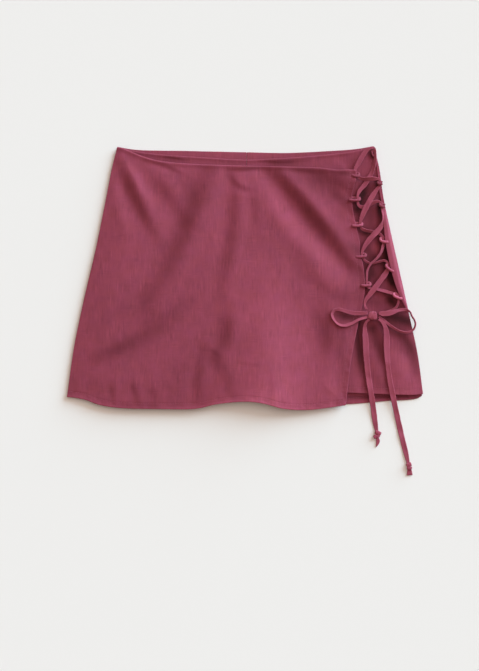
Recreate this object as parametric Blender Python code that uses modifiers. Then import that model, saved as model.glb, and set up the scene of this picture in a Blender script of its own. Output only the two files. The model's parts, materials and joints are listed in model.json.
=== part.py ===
"""Skort laid flat, face up: shorts under a front overlay that is laced along its open side.

The shorts are four panels, two backs under two fronts. The overlay lies on the fronts. It is sewn in at the
picture's left side seam and left open at the right, where one lace runs in zigzag between button loops on its
free edge and loops on the side placket, and ends in a bow with two knotted tails.

+X runs to the right across the front, +Y to the waist and +Z up from the surface that the skort lies on.
The origin is on that surface, under the middle of the skort without its lace.
"""

import math
from collections import namedtuple

import bmesh
import bpy
import numpy as np

# ---------------------------------------------------------------------------
# Driving sizes, in millimetres
# ---------------------------------------------------------------------------

MM = 0.001                  # metres in a millimetre

CLOTH = 1.2                 # one layer of linen, as thick as its turned edges
LAYER_GAP = 0.4             # parting between two layers that lie on each other
SEAM_GAP = 0.3              # parting between two panels at a seam

CENTRE_SEAM_X = 3.0         # centre front and centre back seams
CROTCH_Y = -98.0            # where the four shorts panels meet
LEG_PARTING = 8.0           # from the centre seam to the inner corner of each leg's hem
HEM_LIFT_SHARE = 0.5        # share of a leg's length over which its hem's lift builds up
SIDE_ROLL = 1.5             # the overlay rounds up by this much from its sewn side
SIDE_ROLL_REACH = 8.0       # distance over which it does

TAPE_WIDTH = 8.0            # the lace: a folded and stitched strip of the skort's own linen
TAPE_THICKNESS = 1.5
LOOP_CORD = 2.6             # the button loops' round cord

FRONT_BASE = CLOTH + LAYER_GAP                      # under side of the shorts' fronts
OVERLAY_BASE = FRONT_BASE + CLOTH + SEAM_GAP        # under side of the overlay at its sewn side

PANEL_CELLS = (10, 14)      # columns and rows of each shorts panel
OVERLAY_CELLS = (36, 26)
PLACKET_CELLS = (5, 26)
SPAN_SAMPLES = 12           # fine steps between two rows of an outline
FOLD_SAMPLES = 25           # points along a fold's line
FOLD_FADE = 0.4             # share of a fold's line over which each end fades
LACE_SIDE_REACH = 30.0      # distance from its free edge in which the overlay's rounding fades out

LINEN = (0.266, 0.053, 0.084, 1.0)                  # deep raspberry, linear RGB
LINEN_DEEP = (0.215, 0.042, 0.068, 1.0)
LINEN_LACE = (0.300, 0.062, 0.098, 1.0)
LINEN_ROUGHNESS = 0.9

# ---------------------------------------------------------------------------
# Outlines, in millimetres. Lift is the height of the cloth's under side over its layer's base.
# ---------------------------------------------------------------------------

Edge = namedtuple("Edge", "x y lift")

LEFT_SIDE = [               # from the waist to the hem
    Edge(-180.5, 186.0, 0.0),
    Edge(-188.0, 156.0, 0.0),
    Edge(-198.0, 105.0, 0.0),
    Edge(-212.0, 37.0, 0.0),
    Edge(-228.0, -31.0, 0.0),
    Edge(-242.0, -99.0, 0.0),
    Edge(-252.0, -169.0, 0.0),
]

RIGHT_SIDE = [
    Edge(183.0, 187.0, 0.0),
    Edge(191.0, 156.0, 0.0),
    Edge(197.0, 114.0, 0.0),
    Edge(208.0, 62.0, 0.0),
    Edge(217.5, 20.0, 0.0),
    Edge(231.0, -40.0, 0.0),
    Edge(245.6, -108.0, 0.0),
    Edge(253.4, -165.0, 0.0),
]

BACK_WAIST = [              # from left to right
    Edge(-179.5, 186.0, 0.0),
    Edge(-154.0, 182.0, 0.0),
    Edge(-83.0, 180.4, 0.0),
    Edge(3.0, 178.5, 0.0),
    Edge(60.0, 177.5, 0.0),
    Edge(116.0, 180.0, 0.0),
    Edge(158.0, 183.0, 0.0),
    Edge(182.5, 187.0, 0.0),
]

FRONT_WAIST = [
    Edge(-179.5, 184.5, 0.0),
    Edge(-134.0, 177.0, 0.0),
    Edge(-63.0, 171.5, 0.0),
    Edge(3.0, 168.0, 0.0),
    Edge(43.0, 169.5, 0.0),
    Edge(121.0, 175.5, 0.0),
    Edge(157.0, 180.3, 0.0),
    Edge(183.0, 186.5, 0.0),
]

BACK_HEM = [
    Edge(-250.0, -165.0, 0.0),
    Edge(-243.0, -167.5, 0.0),
    Edge(-201.0, -174.5, 0.0),
    Edge(-147.0, -179.0, 0.0),
    Edge(-60.0, -178.0, 0.0),
    Edge(3.0, -171.0, 0.0),
    Edge(60.0, -178.0, 0.0),
    Edge(147.0, -179.0, 0.0),
    Edge(201.0, -174.7, 0.0),
    Edge(243.5, -171.4, 0.0),
    Edge(252.0, -167.4, 0.0),
]

FRONT_HEM = [
    Edge(-250.0, -162.5, 0.0),
    Edge(-130.0, -161.5, 0.3),
    Edge(3.0, -161.0, 0.0),
    Edge(120.0, -162.0, 0.4),
    Edge(165.0, -163.6, 1.8),
    Edge(215.0, -165.6, 1.9),
    Edge(240.0, -166.0, 0.9),
    Edge(253.4, -165.0, 0.0),
]

OVERLAY_WAIST = [
    Edge(-180.5, 186.0, 0.0),
    Edge(-172.0, 184.0, 0.0),
    Edge(-145.5, 173.0, 0.2),
    Edge(-120.0, 166.0, 0.4),
    Edge(-63.0, 161.2, 0.7),
    Edge(8.0, 159.0, 0.7),
    Edge(64.5, 157.6, 0.9),
    Edge(107.0, 156.2, 1.5),
    Edge(130.0, 153.3, 2.6),
    Edge(147.0, 153.5, 4.9),
    Edge(157.5, 153.0, 5.5),
]

OVERLAY_FREE_EDGE = [       # from the waist corner to the hem corner
    Edge(157.5, 153.0, 5.5),
    Edge(157.8, 140.0, 5.5),
    Edge(152.3, 116.0, 3.4),
    Edge(154.5, 92.0, 3.4),
    Edge(161.0, 62.0, 3.4),
    Edge(163.5, 50.0, 3.4),
    Edge(163.5, 36.0, 3.4),
    Edge(168.5, 16.0, 3.4),
    Edge(170.5, -18.0, 3.4),
    Edge(161.5, -64.0, 3.4),
    Edge(152.0, -112.0, 3.8),
    Edge(143.5, -180.5, 4.6),
]

OVERLAY_HEM = [             # from the sewn side to the free edge
    Edge(-252.0, -169.0, 0.0),
    Edge(-239.0, -170.4, 0.8),
    Edge(-224.0, -173.5, 1.6),
    Edge(-208.0, -179.5, 2.4),
    Edge(-180.0, -184.3, 3.2),
    Edge(-120.0, -186.0, 4.2),
    Edge(-68.0, -185.5, 5.2),
    Edge(-40.0, -179.2, 8.0),
    Edge(2.0, -175.4, 11.0),
    Edge(25.0, -177.7, 10.8),
    Edge(55.0, -185.5, 8.6),
    Edge(87.0, -187.4, 6.2),
    Edge(116.0, -184.6, 5.0),
    Edge(143.5, -180.5, 4.6),
]

# The side placket's inner edge beside the right side seam: how wide it is and how far it stands off.
PlacketRow = namedtuple("PlacketRow", "y width lift")

PLACKET = [
    PlacketRow(178.0, 2.8, 0.0),
    PlacketRow(125.0, 4.2, 0.0),
    PlacketRow(100.0, 4.2, 0.2),
    PlacketRow(84.0, 6.4, 3.4),
    PlacketRow(60.0, 10.0, 3.4),
    PlacketRow(25.0, 12.0, 3.4),
    PlacketRow(-10.0, 10.6, 3.4),
    PlacketRow(-28.0, 7.2, 3.4),
    PlacketRow(-40.0, 4.0, 1.8),
    PlacketRow(-47.0, 2.2, 0.0),
]
PLACKET_RISE = 0.45         # share of its width in which the placket rises from the side seam

# ---------------------------------------------------------------------------
# Folds: soft ridges (height over 0) and troughs (height under 0) along a bent line.
# start_share and end_share say how much of the height is left at each end of the line.
# ---------------------------------------------------------------------------

Fold = namedtuple("Fold", "start middle end height half_width start_share end_share")

OVERLAY_FOLDS = {
    "corner_ridge": Fold((-172, 159), (-148, 118), (-112, 70), 2.6, 11.0, 0.3, 0.0),
    "corner_trough": Fold((-176, 142), (-157, 104), (-131, 62), -1.8, 8.0, 0.2, 0.0),
    "side_ridge": Fold((-184, 142), (-181, 97), (-165, 52), 1.8, 8.0, 0.3, 0.0),
    "waist_ridge": Fold((-158, 159), (-107, 132), (-74, 102), 2.2, 9.0, 0.2, 0.0),
    "front_crease": Fold((-21, 145), (0, 131), (21, 121), -0.9, 6.0, 0.0, 0.0),
    "lace_trough": Fold((35, 150), (86, 78), (152, 16), -2.2, 9.0, 0.3, 0.5),
    "lace_ridge_low": Fold((28, 138), (74, 60), (146, 2), 2.6, 12.0, 0.1, 0.4),
    "lace_ridge_high": Fold((62, 140), (104, 96), (146, 54), 1.9, 11.0, 0.2, 0.3),
    "long_trough": Fold((-25, 140), (-96, 48), (-190, -96), -1.5, 18.0, 0.1, 0.0),
    "long_ridge": Fold((14, 112), (-58, 18), (-140, -84), 2.2, 24.0, 0.0, 0.1),
    "middle_trough": Fold((-20, 18), (-56, -36), (-68, -84), -1.2, 12.0, 0.0, 0.6),
    "hem_trough_left": Fold((-60, -104), (-70, -138), (-77, -168), -1.5, 9.0, 0.4, 0.8),
    "hem_trough_right": Fold((-60, -104), (-42, -134), (-21, -162), -1.3, 9.0, 0.4, 0.8),
    "front_ridge": Fold((29, -2), (34, -88), (25, -168), 2.2, 20.0, 0.0, 0.7),
    "bow_trough": Fold((128, -58), (104, -82), (84, -108), -1.8, 12.0, 0.2, 0.0),
    "hem_ridge_left": Fold((-128, -84), (-136, -140), (-134, -186), 1.4, 24.0, 0.0, 1.0),
    "hem_ridge_right": Fold((92, -104), (90, -150), (88, -187), 1.2, 20.0, 0.0, 1.0),
}

FRONT_FOLDS = {
    "leg_ridge_inner": Fold((178, -84), (190, -124), (201, -160), 0.7, 8.0, 0.0, 0.3),
    "leg_ridge_outer": Fold((216, -76), (224, -120), (230, -160), 1.0, 12.0, 0.0, 0.2),
}

# ---------------------------------------------------------------------------
# Button loops. Each is a cord bent to a U that stands on its side: low and high are its legs' heights.
# The base is where the legs end, under and over the cloth's edge, and the tip is the bend's outer side.
# ---------------------------------------------------------------------------

Loop = namedtuple("Loop", "base_x base_y tip_x tip_y low high")

LOOPS = {
    "loop_left_1": Loop(153.0, 146.5, 165.5, 146.5, 4.8, 11.4),
    "loop_left_2": Loop(148.0, 111.5, 165.5, 112.0, 4.8, 9.6),
    "loop_left_3": Loop(152.5, 75.0, 169.0, 76.5, 4.8, 9.6),
    "loop_left_4": Loop(157.0, 31.0, 173.5, 32.5, 4.8, 9.6),
    "loop_left_5": Loop(165.5, -9.5, 180.0, -8.5, 4.8, 9.6),
    "loop_right_1": Loop(195.5, 134.0, 187.0, 134.6, 6.2, 11.0),
    "loop_right_2": Loop(199.0, 100.5, 189.5, 103.0, 6.2, 11.0),
    "loop_right_3": Loop(204.5, 52.0, 191.0, 54.5, 4.8, 9.6),
    "loop_right_4": Loop(211.5, 10.5, 199.0, 19.6, 4.8, 9.6),
    "loop_right_5": Loop(224.0, -27.0, 211.5, -26.0, 4.8, 9.6),
}
LOOP_BEND_POINTS = 6

# The corner loop lies level at the top of the side seam, and the lace's middle is folded over it.
CORNER_LOOP = [(188.0, 173.0), (186.6, 178.5), (184.8, 182.2), (182.6, 182.8), (182.0, 180.0), (184.2, 174.0)]
CORNER_LOOP_Z = 7.2
CORNER_LOOP_CORD = 2.0

# ---------------------------------------------------------------------------
# The lace. Lean rolls the tape about its line (0 is flat), and share is how much of its width is spread.
# ---------------------------------------------------------------------------

Lace = namedtuple("Lace", "x y z lean share")

LACE_A = [                  # from the corner loop to the bow's knot
    Lace(181.8, 184.6, 9.0, 0, 0.42),
    Lace(176.8, 183.2, 9.0, 0, 0.52),
    Lace(170.6, 177.6, 8.6, 0, 0.80),
    Lace(161.2, 162.4, 7.9, 8, 0.86),
    Lace(156.8, 154.2, 7.6, 0, 0.55),
    Lace(156.8, 148.4, 7.6, 0, 0.45),
    Lace(160.5, 143.4, 7.6, -10, 0.50),
    Lace(166.0, 140.4, 8.6, -32, 0.72),
    Lace(175.0, 140.2, 9.4, -42, 0.86),
    Lace(184.0, 140.4, 9.3, -32, 0.72),
    Lace(189.8, 139.6, 8.8, -10, 0.44),
    Lace(192.3, 137.0, 8.6, 0, 0.38),
    Lace(192.0, 132.5, 8.6, 0, 0.38),
    Lace(189.0, 127.5, 8.7, -2, 0.55),
    Lace(183.8, 120.0, 8.9, -4, 0.86),
    Lace(176.5, 108.0, 9.1, -6, 0.95),
    Lace(168.5, 92.0, 8.7, -4, 0.90),
    Lace(164.8, 82.0, 7.8, 0, 0.62),
    Lace(164.0, 75.5, 7.2, 0, 0.42),
    Lace(165.5, 70.4, 6.8, -15, 0.48),
    Lace(171.5, 67.4, 6.2, -34, 0.64),
    Lace(180.5, 65.6, 6.0, -34, 0.66),
    Lace(189.5, 63.2, 6.2, -30, 0.58),
    Lace(194.8, 59.5, 6.9, -10, 0.46),
    Lace(196.7, 53.5, 7.2, 0, 0.38),
    Lace(196.2, 46.0, 7.5, 24, 0.58),
    Lace(193.5, 36.5, 8.0, 42, 0.68),
    Lace(186.5, 27.0, 8.6, 44, 0.50),
    Lace(178.5, 19.5, 9.0, 36, 0.40),
    Lace(174.0, 10.5, 8.4, 24, 0.40),
    Lace(173.4, -8.5, 7.2, 0, 0.38),
    Lace(175.0, -13.3, 6.5, 6, 0.42),
    Lace(188.0, -15.6, 5.7, 18, 0.50),
    Lace(202.0, -17.5, 6.2, 18, 0.52),
    Lace(213.5, -21.0, 7.0, 8, 0.45),
    Lace(217.3, -26.5, 7.2, 0, 0.40),
    Lace(218.0, -34.0, 6.2, 0, 0.42),
    Lace(215.0, -41.5, 5.0, 0, 0.45),
    Lace(206.0, -47.0, 4.7, 0, 0.48),
    Lace(191.5, -51.0, 5.6, 0, 0.48),
]

LACE_B = [                  # the other half, from the same fold to the knot
    Lace(184.3, 186.0, 8.6, 0, 0.50),
    Lace(186.1, 186.9, 7.4, 0, 0.50),
    Lace(186.3, 186.3, 5.8, 0, 0.50),
    Lace(184.8, 183.2, 5.0, 0, 0.52),
    Lace(183.8, 177.0, 5.2, 0, 0.60),
    Lace(183.0, 168.0, 5.4, 0, 0.68),
    Lace(180.6, 154.0, 5.4, 0, 0.78),
    Lace(176.4, 143.5, 5.3, 0, 0.84),
    Lace(170.0, 132.8, 5.9, 0, 0.82),
    Lace(162.8, 123.4, 6.8, 0, 0.65),
    Lace(160.3, 116.5, 7.2, 0, 0.45),
    Lace(160.3, 109.5, 7.2, 0, 0.42),
    Lace(161.5, 103.0, 6.6, 8, 0.50),
    Lace(166.5, 100.0, 5.9, 20, 0.62),
    Lace(173.5, 101.8, 5.8, 26, 0.70),
    Lace(182.0, 106.6, 6.6, 24, 0.70),
    Lace(189.6, 108.6, 8.2, 8, 0.46),
    Lace(193.6, 105.8, 8.6, 0, 0.38),
    Lace(194.2, 100.0, 8.6, -10, 0.38),
    Lace(193.8, 89.0, 8.5, 0, 0.40),
    Lace(193.6, 79.0, 8.8, 0, 0.55),
    Lace(190.7, 70.0, 9.0, 0, 0.86),
    Lace(183.5, 61.5, 9.2, -6, 0.95),
    Lace(175.5, 52.5, 8.8, -4, 0.92),
    Lace(169.5, 43.5, 7.9, 0, 0.72),
    Lace(166.6, 36.5, 7.2, 0, 0.45),
    Lace(167.0, 30.0, 7.2, 0, 0.40),
    Lace(171.5, 24.0, 6.2, -10, 0.40),
    Lace(179.5, 20.5, 5.6, -25, 0.40),
    Lace(190.0, 22.9, 5.9, -38, 0.46),
    Lace(198.0, 24.6, 6.6, -26, 0.44),
    Lace(203.0, 21.3, 7.2, 0, 0.36),
    Lace(203.6, 15.5, 7.2, 0, 0.38),
    Lace(199.5, 6.5, 7.7, -4, 0.80),
    Lace(193.0, -3.0, 8.6, -6, 0.95),
    Lace(184.5, -14.5, 9.1, -6, 0.95),
    Lace(177.0, -24.0, 8.6, -4, 0.86),
    Lace(171.5, -32.0, 7.9, 0, 0.55),
    Lace(170.4, -39.0, 7.6, 0, 0.40),
    Lace(173.2, -45.0, 7.8, 0, 0.40),
]

BOW_LOOP_LEFT = [           # out of the knot, over the overlay and back
    Lace(174.0, -50.0, 11.0, 14, 0.45),
    Lace(166.0, -50.0, 11.6, 10, 0.66),
    Lace(155.0, -50.0, 12.4, 6, 0.72),
    Lace(144.0, -47.6, 12.6, -4, 0.66),
    Lace(134.0, -44.8, 12.6, 6, 0.60),
    Lace(126.8, -46.2, 12.4, 24, 0.60),
    Lace(123.6, -51.0, 12.3, 32, 0.60),
    Lace(125.2, -57.0, 12.2, 36, 0.62),
    Lace(129.6, -63.2, 12.2, 40, 0.62),
    Lace(135.6, -67.0, 12.2, 40, 0.62),
    Lace(144.0, -67.2, 12.2, 30, 0.62),
    Lace(152.5, -64.2, 12.0, 26, 0.58),
    Lace(162.0, -59.0, 11.2, 22, 0.52),
    Lace(174.0, -55.6, 8.6, 10, 0.45),
]

BOW_LOOP_RIGHT = [
    Lace(189.6, -50.0, 11.0, 0, 0.50),
    Lace(197.0, -49.8, 11.2, 10, 0.80),
    Lace(207.0, -48.2, 11.4, 14, 0.78),
    Lace(218.0, -46.0, 11.2, 12, 0.62),
    Lace(228.5, -45.4, 10.6, -20, 0.52),
    Lace(234.4, -48.4, 9.8, -62, 0.46),
    Lace(236.8, -54.0, 9.4, -66, 0.42),
    Lace(240.4, -59.5, 9.0, -66, 0.44),
    Lace(242.0, -66.5, 8.6, -66, 0.42),
    Lace(238.8, -73.6, 8.2, -44, 0.44),
    Lace(231.6, -77.0, 8.0, -24, 0.44),
    Lace(221.5, -76.0, 7.6, 10, 0.46),
    Lace(211.0, -70.8, 7.4, 14, 0.52),
    Lace(201.0, -63.2, 7.2, 0, 0.50),
    Lace(189.6, -54.6, 6.9, -10, 0.42),
]

TAIL_SHORT = [              # from the knot down over the hem to its end knot
    Lace(178.0, -60.6, 8.0, 0, 0.42),
    Lace(173.0, -63.8, 7.6, 0, 0.46),
    Lace(170.3, -68.6, 7.2, 0, 0.54),
    Lace(170.5, -76.0, 6.9, 0, 0.84),
    Lace(171.6, -90.0, 6.6, 0, 1.08),
    Lace(172.3, -106.0, 6.4, 0, 1.06),
    Lace(174.2, -129.0, 6.4, 0, 0.98),
    Lace(178.1, -157.5, 6.5, 0, 0.98),
    Lace(181.3, -176.0, 4.7, 0, 0.98),
    Lace(183.3, -189.5, 2.6, 0, 0.98),
    Lace(185.0, -202.0, 1.2, 0, 0.98),
    Lace(186.4, -211.5, 1.1, 0, 0.80),
    Lace(187.2, -216.0, 1.4, 0, 0.50),
]

TAIL_LONG = [
    Lace(189.8, -58.2, 9.8, 0, 0.42),
    Lace(194.0, -61.5, 10.4, 10, 0.55),
    Lace(198.5, -68.5, 10.4, 14, 0.72),
    Lace(200.9, -79.0, 8.0, 12, 1.02),
    Lace(201.5, -100.0, 6.7, 4, 1.12),
    Lace(203.4, -126.0, 6.5, 0, 0.92),
    Lace(207.9, -156.0, 6.6, 0, 0.92),
    Lace(212.9, -179.5, 4.6, 0, 0.96),
    Lace(218.0, -202.0, 1.9, 0, 0.96),
    Lace(224.0, -228.0, 1.1, 0, 0.96),
    Lace(229.5, -250.0, 1.1, 0, 0.90),
    Lace(232.4, -261.8, 1.4, 0, 0.50),
]

TIP_SHORT = [               # the cut ends below the two end knots
    Lace(188.8, -229.8, 1.4, 0, 0.50),
    Lace(188.8, -233.0, 1.1, 0, 0.72),
    Lace(187.6, -239.5, 1.1, 0, 0.16),
]

TIP_LONG = [
    Lace(234.0, -272.8, 1.4, 0, 0.62),
    Lace(234.3, -276.0, 1.1, 0, 0.86),
    Lace(234.5, -280.0, 1.1, 0, 0.94),
]

LACE_PIECES = {             # route and number of points
    "lace_a": (LACE_A, 64),
    "lace_b": (LACE_B, 64),
    "bow_loop_left": (BOW_LOOP_LEFT, 26),
    "bow_loop_right": (BOW_LOOP_RIGHT, 28),
    "tail_short": (TAIL_SHORT, 20),
    "tail_long": (TAIL_LONG, 22),
    "tip_short": (TIP_SHORT, 5),
    "tip_long": (TIP_LONG, 4),
}

# Knots: middle, size and turn about the upright.
Knot = namedtuple("Knot", "x y z width length height turn")

KNOTS = {
    "bow_knot": Knot(181.8, -53.0, 8.8, 14.0, 12.4, 7.6, -6.0),
    "end_knot_short": Knot(188.5, -223.0, 2.5, 11.0, 10.0, 4.6, -18.0),
    "end_knot_long": Knot(233.2, -267.3, 2.4, 8.0, 9.8, 4.4, 16.0),
}
KNOT_ROUNDING = 0.42        # share of a knot's height that its edges are rounded by
KNOT_SEGMENTS = 3


# ---------------------------------------------------------------------------
# Lines and heights
# ---------------------------------------------------------------------------

def smooth_line(rows):
    """Fine points on a smooth curve through the rows, with every column carried along."""
    rows = np.array(rows, dtype=float)
    spans = np.sqrt(np.linalg.norm(np.diff(rows[:, :2], axis=0), axis=1) + 1e-6)
    slopes = np.diff(rows, axis=0) / spans[:, None]
    before = spans[:-1, None]
    after = spans[1:, None]
    inner = (slopes[:-1] * after + slopes[1:] * before) / (before + after)
    tangents = np.vstack([slopes[:1], inner, slopes[-1:]])
    steps = np.linspace(0.0, 1.0, SPAN_SAMPLES, endpoint=False)[:, None]
    pieces = []
    for index, span in enumerate(spans):
        start, end = rows[index], rows[index + 1]
        leave, arrive = tangents[index] * span, tangents[index + 1] * span
        pieces.append(
            start * (2 * steps ** 3 - 3 * steps ** 2 + 1)
            + leave * (steps ** 3 - 2 * steps ** 2 + steps)
            + end * (3 * steps ** 2 - 2 * steps ** 3)
            + arrive * (steps ** 3 - steps ** 2)
        )
    return np.vstack(pieces + [rows[-1:]])


def spaced(line, count):
    """The line's columns at evenly spaced distances along it, with count steps."""
    lengths = np.linalg.norm(np.diff(line[:, :2], axis=0), axis=1)
    travelled = np.concatenate([[0.0], np.cumsum(lengths)])
    wanted = np.linspace(0.0, travelled[-1], count + 1)
    return np.column_stack([np.interp(wanted, travelled, column) for column in line.T])


def between(line, axis, low, high):
    """The stretch of a line whose x (axis 0) or y (axis 1) lies between two values, cut at both."""
    order = np.argsort(line[:, axis])
    rising = line[order]
    inside = rising[(rising[:, axis] > low) & (rising[:, axis] < high)]
    ends = [
        [np.interp(value, rising[:, axis], column) for column in rising.T]
        for value in (low, high)
    ]
    return np.vstack([ends[0], inside, ends[1]])


def patch(top, bottom, left, right):
    """Rows of points that fill the space between four edges (a Coons patch)."""
    u = np.linspace(0.0, 1.0, len(top))[None, :, None]
    v = np.linspace(0.0, 1.0, len(left))[:, None, None]
    across = (1 - u) * left[:, None, :] + u * right[:, None, :]
    down = (1 - v) * top[None, :, :] + v * bottom[None, :, :]
    corners = (
        (1 - u) * (1 - v) * top[0] + u * (1 - v) * top[-1]
        + (1 - u) * v * bottom[0] + u * v * bottom[-1]
    )
    return across + down - corners


def ease(share):
    """0 to 1 with level ends."""
    share = np.clip(share, 0.0, 1.0)
    return share * share * (3 - 2 * share)


def fold_lift(points, fold):
    """Height that one fold adds at each point."""
    start, middle, end = (np.array(place, dtype=float) for place in fold[:3])
    t = np.linspace(0.0, 1.0, FOLD_SAMPLES)[:, None]
    line = start * (1 - t) ** 2 + (4 * middle - start - end) * t * (1 - t) + end * t ** 2
    apart = np.linalg.norm(points[:, None, :2] - line[None, :, :], axis=2)
    nearest = t[np.argmin(apart, axis=1), 0]
    rising = fold.start_share + (1 - fold.start_share) * ease(nearest / FOLD_FADE)
    falling = fold.end_share + (1 - fold.end_share) * ease((1 - nearest) / FOLD_FADE)
    return fold.height * np.exp(-(apart.min(axis=1) / fold.half_width) ** 2) * np.minimum(rising, falling)


def add_folds(grid, folds, floor):
    """Add every fold to a grid's heights, which stay above a floor."""
    points = grid.reshape(-1, 3)
    lift = sum(fold_lift(points, fold) for fold in folds.values())
    points[:, 2] = np.maximum(points[:, 2] + lift, floor)
    return points.reshape(grid.shape)


# ---------------------------------------------------------------------------
# Making objects
# ---------------------------------------------------------------------------

def linen(name, colour):
    """A matt linen material."""
    material = bpy.data.materials.new(name)
    material.use_nodes = True
    shader = material.node_tree.nodes["Principled BSDF"]
    shader.inputs["Base Color"].default_value = colour
    shader.inputs["Roughness"].default_value = LINEN_ROUGHNESS
    shader.inputs["Metallic"].default_value = 0.0
    material.diffuse_color = colour
    return material


def add_object(collection, name, data, colour):
    """Place an object with its own material in the skort's collection."""
    obj = bpy.data.objects.new(name, data)
    data.materials.append(linen(name, colour))
    collection.objects.link(obj)
    return obj


def cloth_panel(collection, name, grid, colour):
    """One layer of cloth whose under side runs through the grid's points."""
    rows, columns = grid.shape[0] - 1, grid.shape[1] - 1
    form = bmesh.new()
    bmesh.ops.create_grid(form, x_segments=columns, y_segments=rows, size=1.0)
    for vert in form.verts:
        column = round((vert.co.x + 1.0) / 2.0 * columns)
        row = round((1.0 - vert.co.y) / 2.0 * rows)
        vert.co = grid[row, column] * MM
    mesh = bpy.data.meshes.new(name)
    form.to_mesh(mesh)
    form.free()
    mesh.shade_smooth()
    obj = add_object(collection, name, mesh, colour)
    wall = obj.modifiers.new("cloth", "SOLIDIFY")
    wall.thickness = CLOTH * MM
    wall.offset = 1.0
    wall.use_even_offset = True
    return obj


def cord(collection, name, points, radius, colour):
    """A round cord through points of x, y and z."""
    curve = bpy.data.curves.new(name, "CURVE")
    curve.dimensions = "3D"
    curve.bevel_depth = radius * MM
    curve.bevel_resolution = 2
    curve.render_resolution_u = 0
    curve.use_fill_caps = True
    spline = curve.splines.new("POLY")
    spline.points.add(len(points) - 1)
    for point, place in zip(spline.points, points):
        point.co = (place[0] * MM, place[1] * MM, place[2] * MM, 1.0)
    return add_object(collection, name, curve, colour)


def tape(collection, name, route, count, colour):
    """A flat tape along a lace route, rolled by its lean and narrowed by its share."""
    curve = bpy.data.curves.new(name, "CURVE")
    curve.dimensions = "3D"
    curve.twist_mode = "Z_UP"
    curve.bevel_depth = TAPE_THICKNESS / 2 * MM
    curve.extrude = (TAPE_WIDTH - TAPE_THICKNESS) / 2 * MM
    curve.bevel_resolution = 2
    curve.render_resolution_u = 0
    curve.use_fill_caps = True
    line = smooth_line(route)
    picked = line[np.round(np.linspace(0, len(line) - 1, count)).astype(int)]
    spline = curve.splines.new("POLY")
    spline.points.add(count - 1)
    for point, (x, y, z, lean, share) in zip(spline.points, picked):
        point.co = (x * MM, y * MM, z * MM, 1.0)
        point.tilt = math.radians(90.0 + lean)
        point.radius = share
    return add_object(collection, name, curve, colour)


# ---------------------------------------------------------------------------
# The pieces
# ---------------------------------------------------------------------------

def side_edge(rows, waist, hem, count):
    """A side seam's line from the waist down, slid at both ends to meet the waist and the hem."""
    line = spaced(between(smooth_line(rows), 1, hem[1], waist[1])[::-1], count)
    return line + np.linspace(waist - line[0], hem - line[-1], count + 1)


def inner_edge(direction, waist, hem, count):
    """The centre seam down to the crotch, then the inseam down to the leg's hem."""
    seam_x = CENTRE_SEAM_X + direction * SEAM_GAP / 2
    crotch = np.array([seam_x, CROTCH_Y, waist[2]])
    seam_share = (waist[1] - CROTCH_Y) / (waist[1] - hem[1])
    seam_steps = round(count * seam_share)
    seam = np.linspace([seam_x, waist[1], waist[2]], crotch, seam_steps + 1)
    inseam = np.linspace(crotch, hem, count - seam_steps + 1)
    return np.vstack([seam, inseam[1:]])


def shorts_panel(waist_rows, hem_rows, side_rows, base, direction):
    """Under side of one quarter of the shorts. Direction is -1 for the left quarter and 1 for the right."""
    columns, rows = PANEL_CELLS
    waist_line = smooth_line(waist_rows)
    hem_line = smooth_line(hem_rows)
    seam_x = CENTRE_SEAM_X + direction * SEAM_GAP / 2
    leg_x = CENTRE_SEAM_X + direction * LEG_PARTING
    if direction < 0:
        waist = between(waist_line, 0, waist_rows[0].x, seam_x)
        hem = between(hem_line, 0, hem_rows[0].x, leg_x)
        outer_waist, inner_waist, outer_hem, inner_hem = waist[0], waist[-1], hem[0], hem[-1]
    else:
        waist = between(waist_line, 0, seam_x, waist_rows[-1].x)
        hem = between(hem_line, 0, leg_x, hem_rows[-1].x)
        outer_waist, inner_waist, outer_hem, inner_hem = waist[-1], waist[0], hem[-1], hem[0]
    outer = side_edge(side_rows, outer_waist, outer_hem, rows)
    inner = inner_edge(direction, inner_waist, inner_hem, rows)
    left, right = (outer, inner) if direction < 0 else (inner, outer)
    grid = patch(spaced(waist, columns), spaced(hem, columns), left, right)
    down = np.linspace(0.0, 1.0, rows + 1)[:, None]
    grid[:, :, 2] = base + grid[:, :, 2] * ease(1 - (1 - down) / HEM_LIFT_SHARE)
    return grid


def add_shorts(collection):
    """Two backs on the surface and two fronts on them."""
    sides = {"left": (-1, LEFT_SIDE), "right": (1, RIGHT_SIDE)}
    for word, (direction, side_rows) in sides.items():
        back = shorts_panel(BACK_WAIST, BACK_HEM, side_rows, 0.0, direction)
        cloth_panel(collection, f"back_{word}", back, LINEN_DEEP)
        front = shorts_panel(FRONT_WAIST, FRONT_HEM, side_rows, FRONT_BASE, direction)
        front = add_folds(front, FRONT_FOLDS, FRONT_BASE)
        cloth_panel(collection, f"front_{word}", front, LINEN_DEEP)


def add_overlay(collection):
    """The front overlay, rounded up from its sewn side and folded."""
    columns, rows = OVERLAY_CELLS
    grid = patch(
        spaced(smooth_line(OVERLAY_WAIST), columns),
        spaced(smooth_line(OVERLAY_HEM), columns),
        spaced(smooth_line(LEFT_SIDE), rows),
        spaced(smooth_line(OVERLAY_FREE_EDGE), rows),
    )
    from_side = grid[:, :, 0] - grid[:, :1, 0]
    from_lace = ease((grid[:, -1:, 0] - grid[:, :, 0]) / LACE_SIDE_REACH)
    roll = SIDE_ROLL * (1 - np.exp(-from_side / SIDE_ROLL_REACH)) * from_lace
    grid[:, :, 2] += OVERLAY_BASE + roll
    grid = add_folds(grid, OVERLAY_FOLDS, OVERLAY_BASE)
    cloth_panel(collection, "overlay", grid, LINEN)


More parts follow.
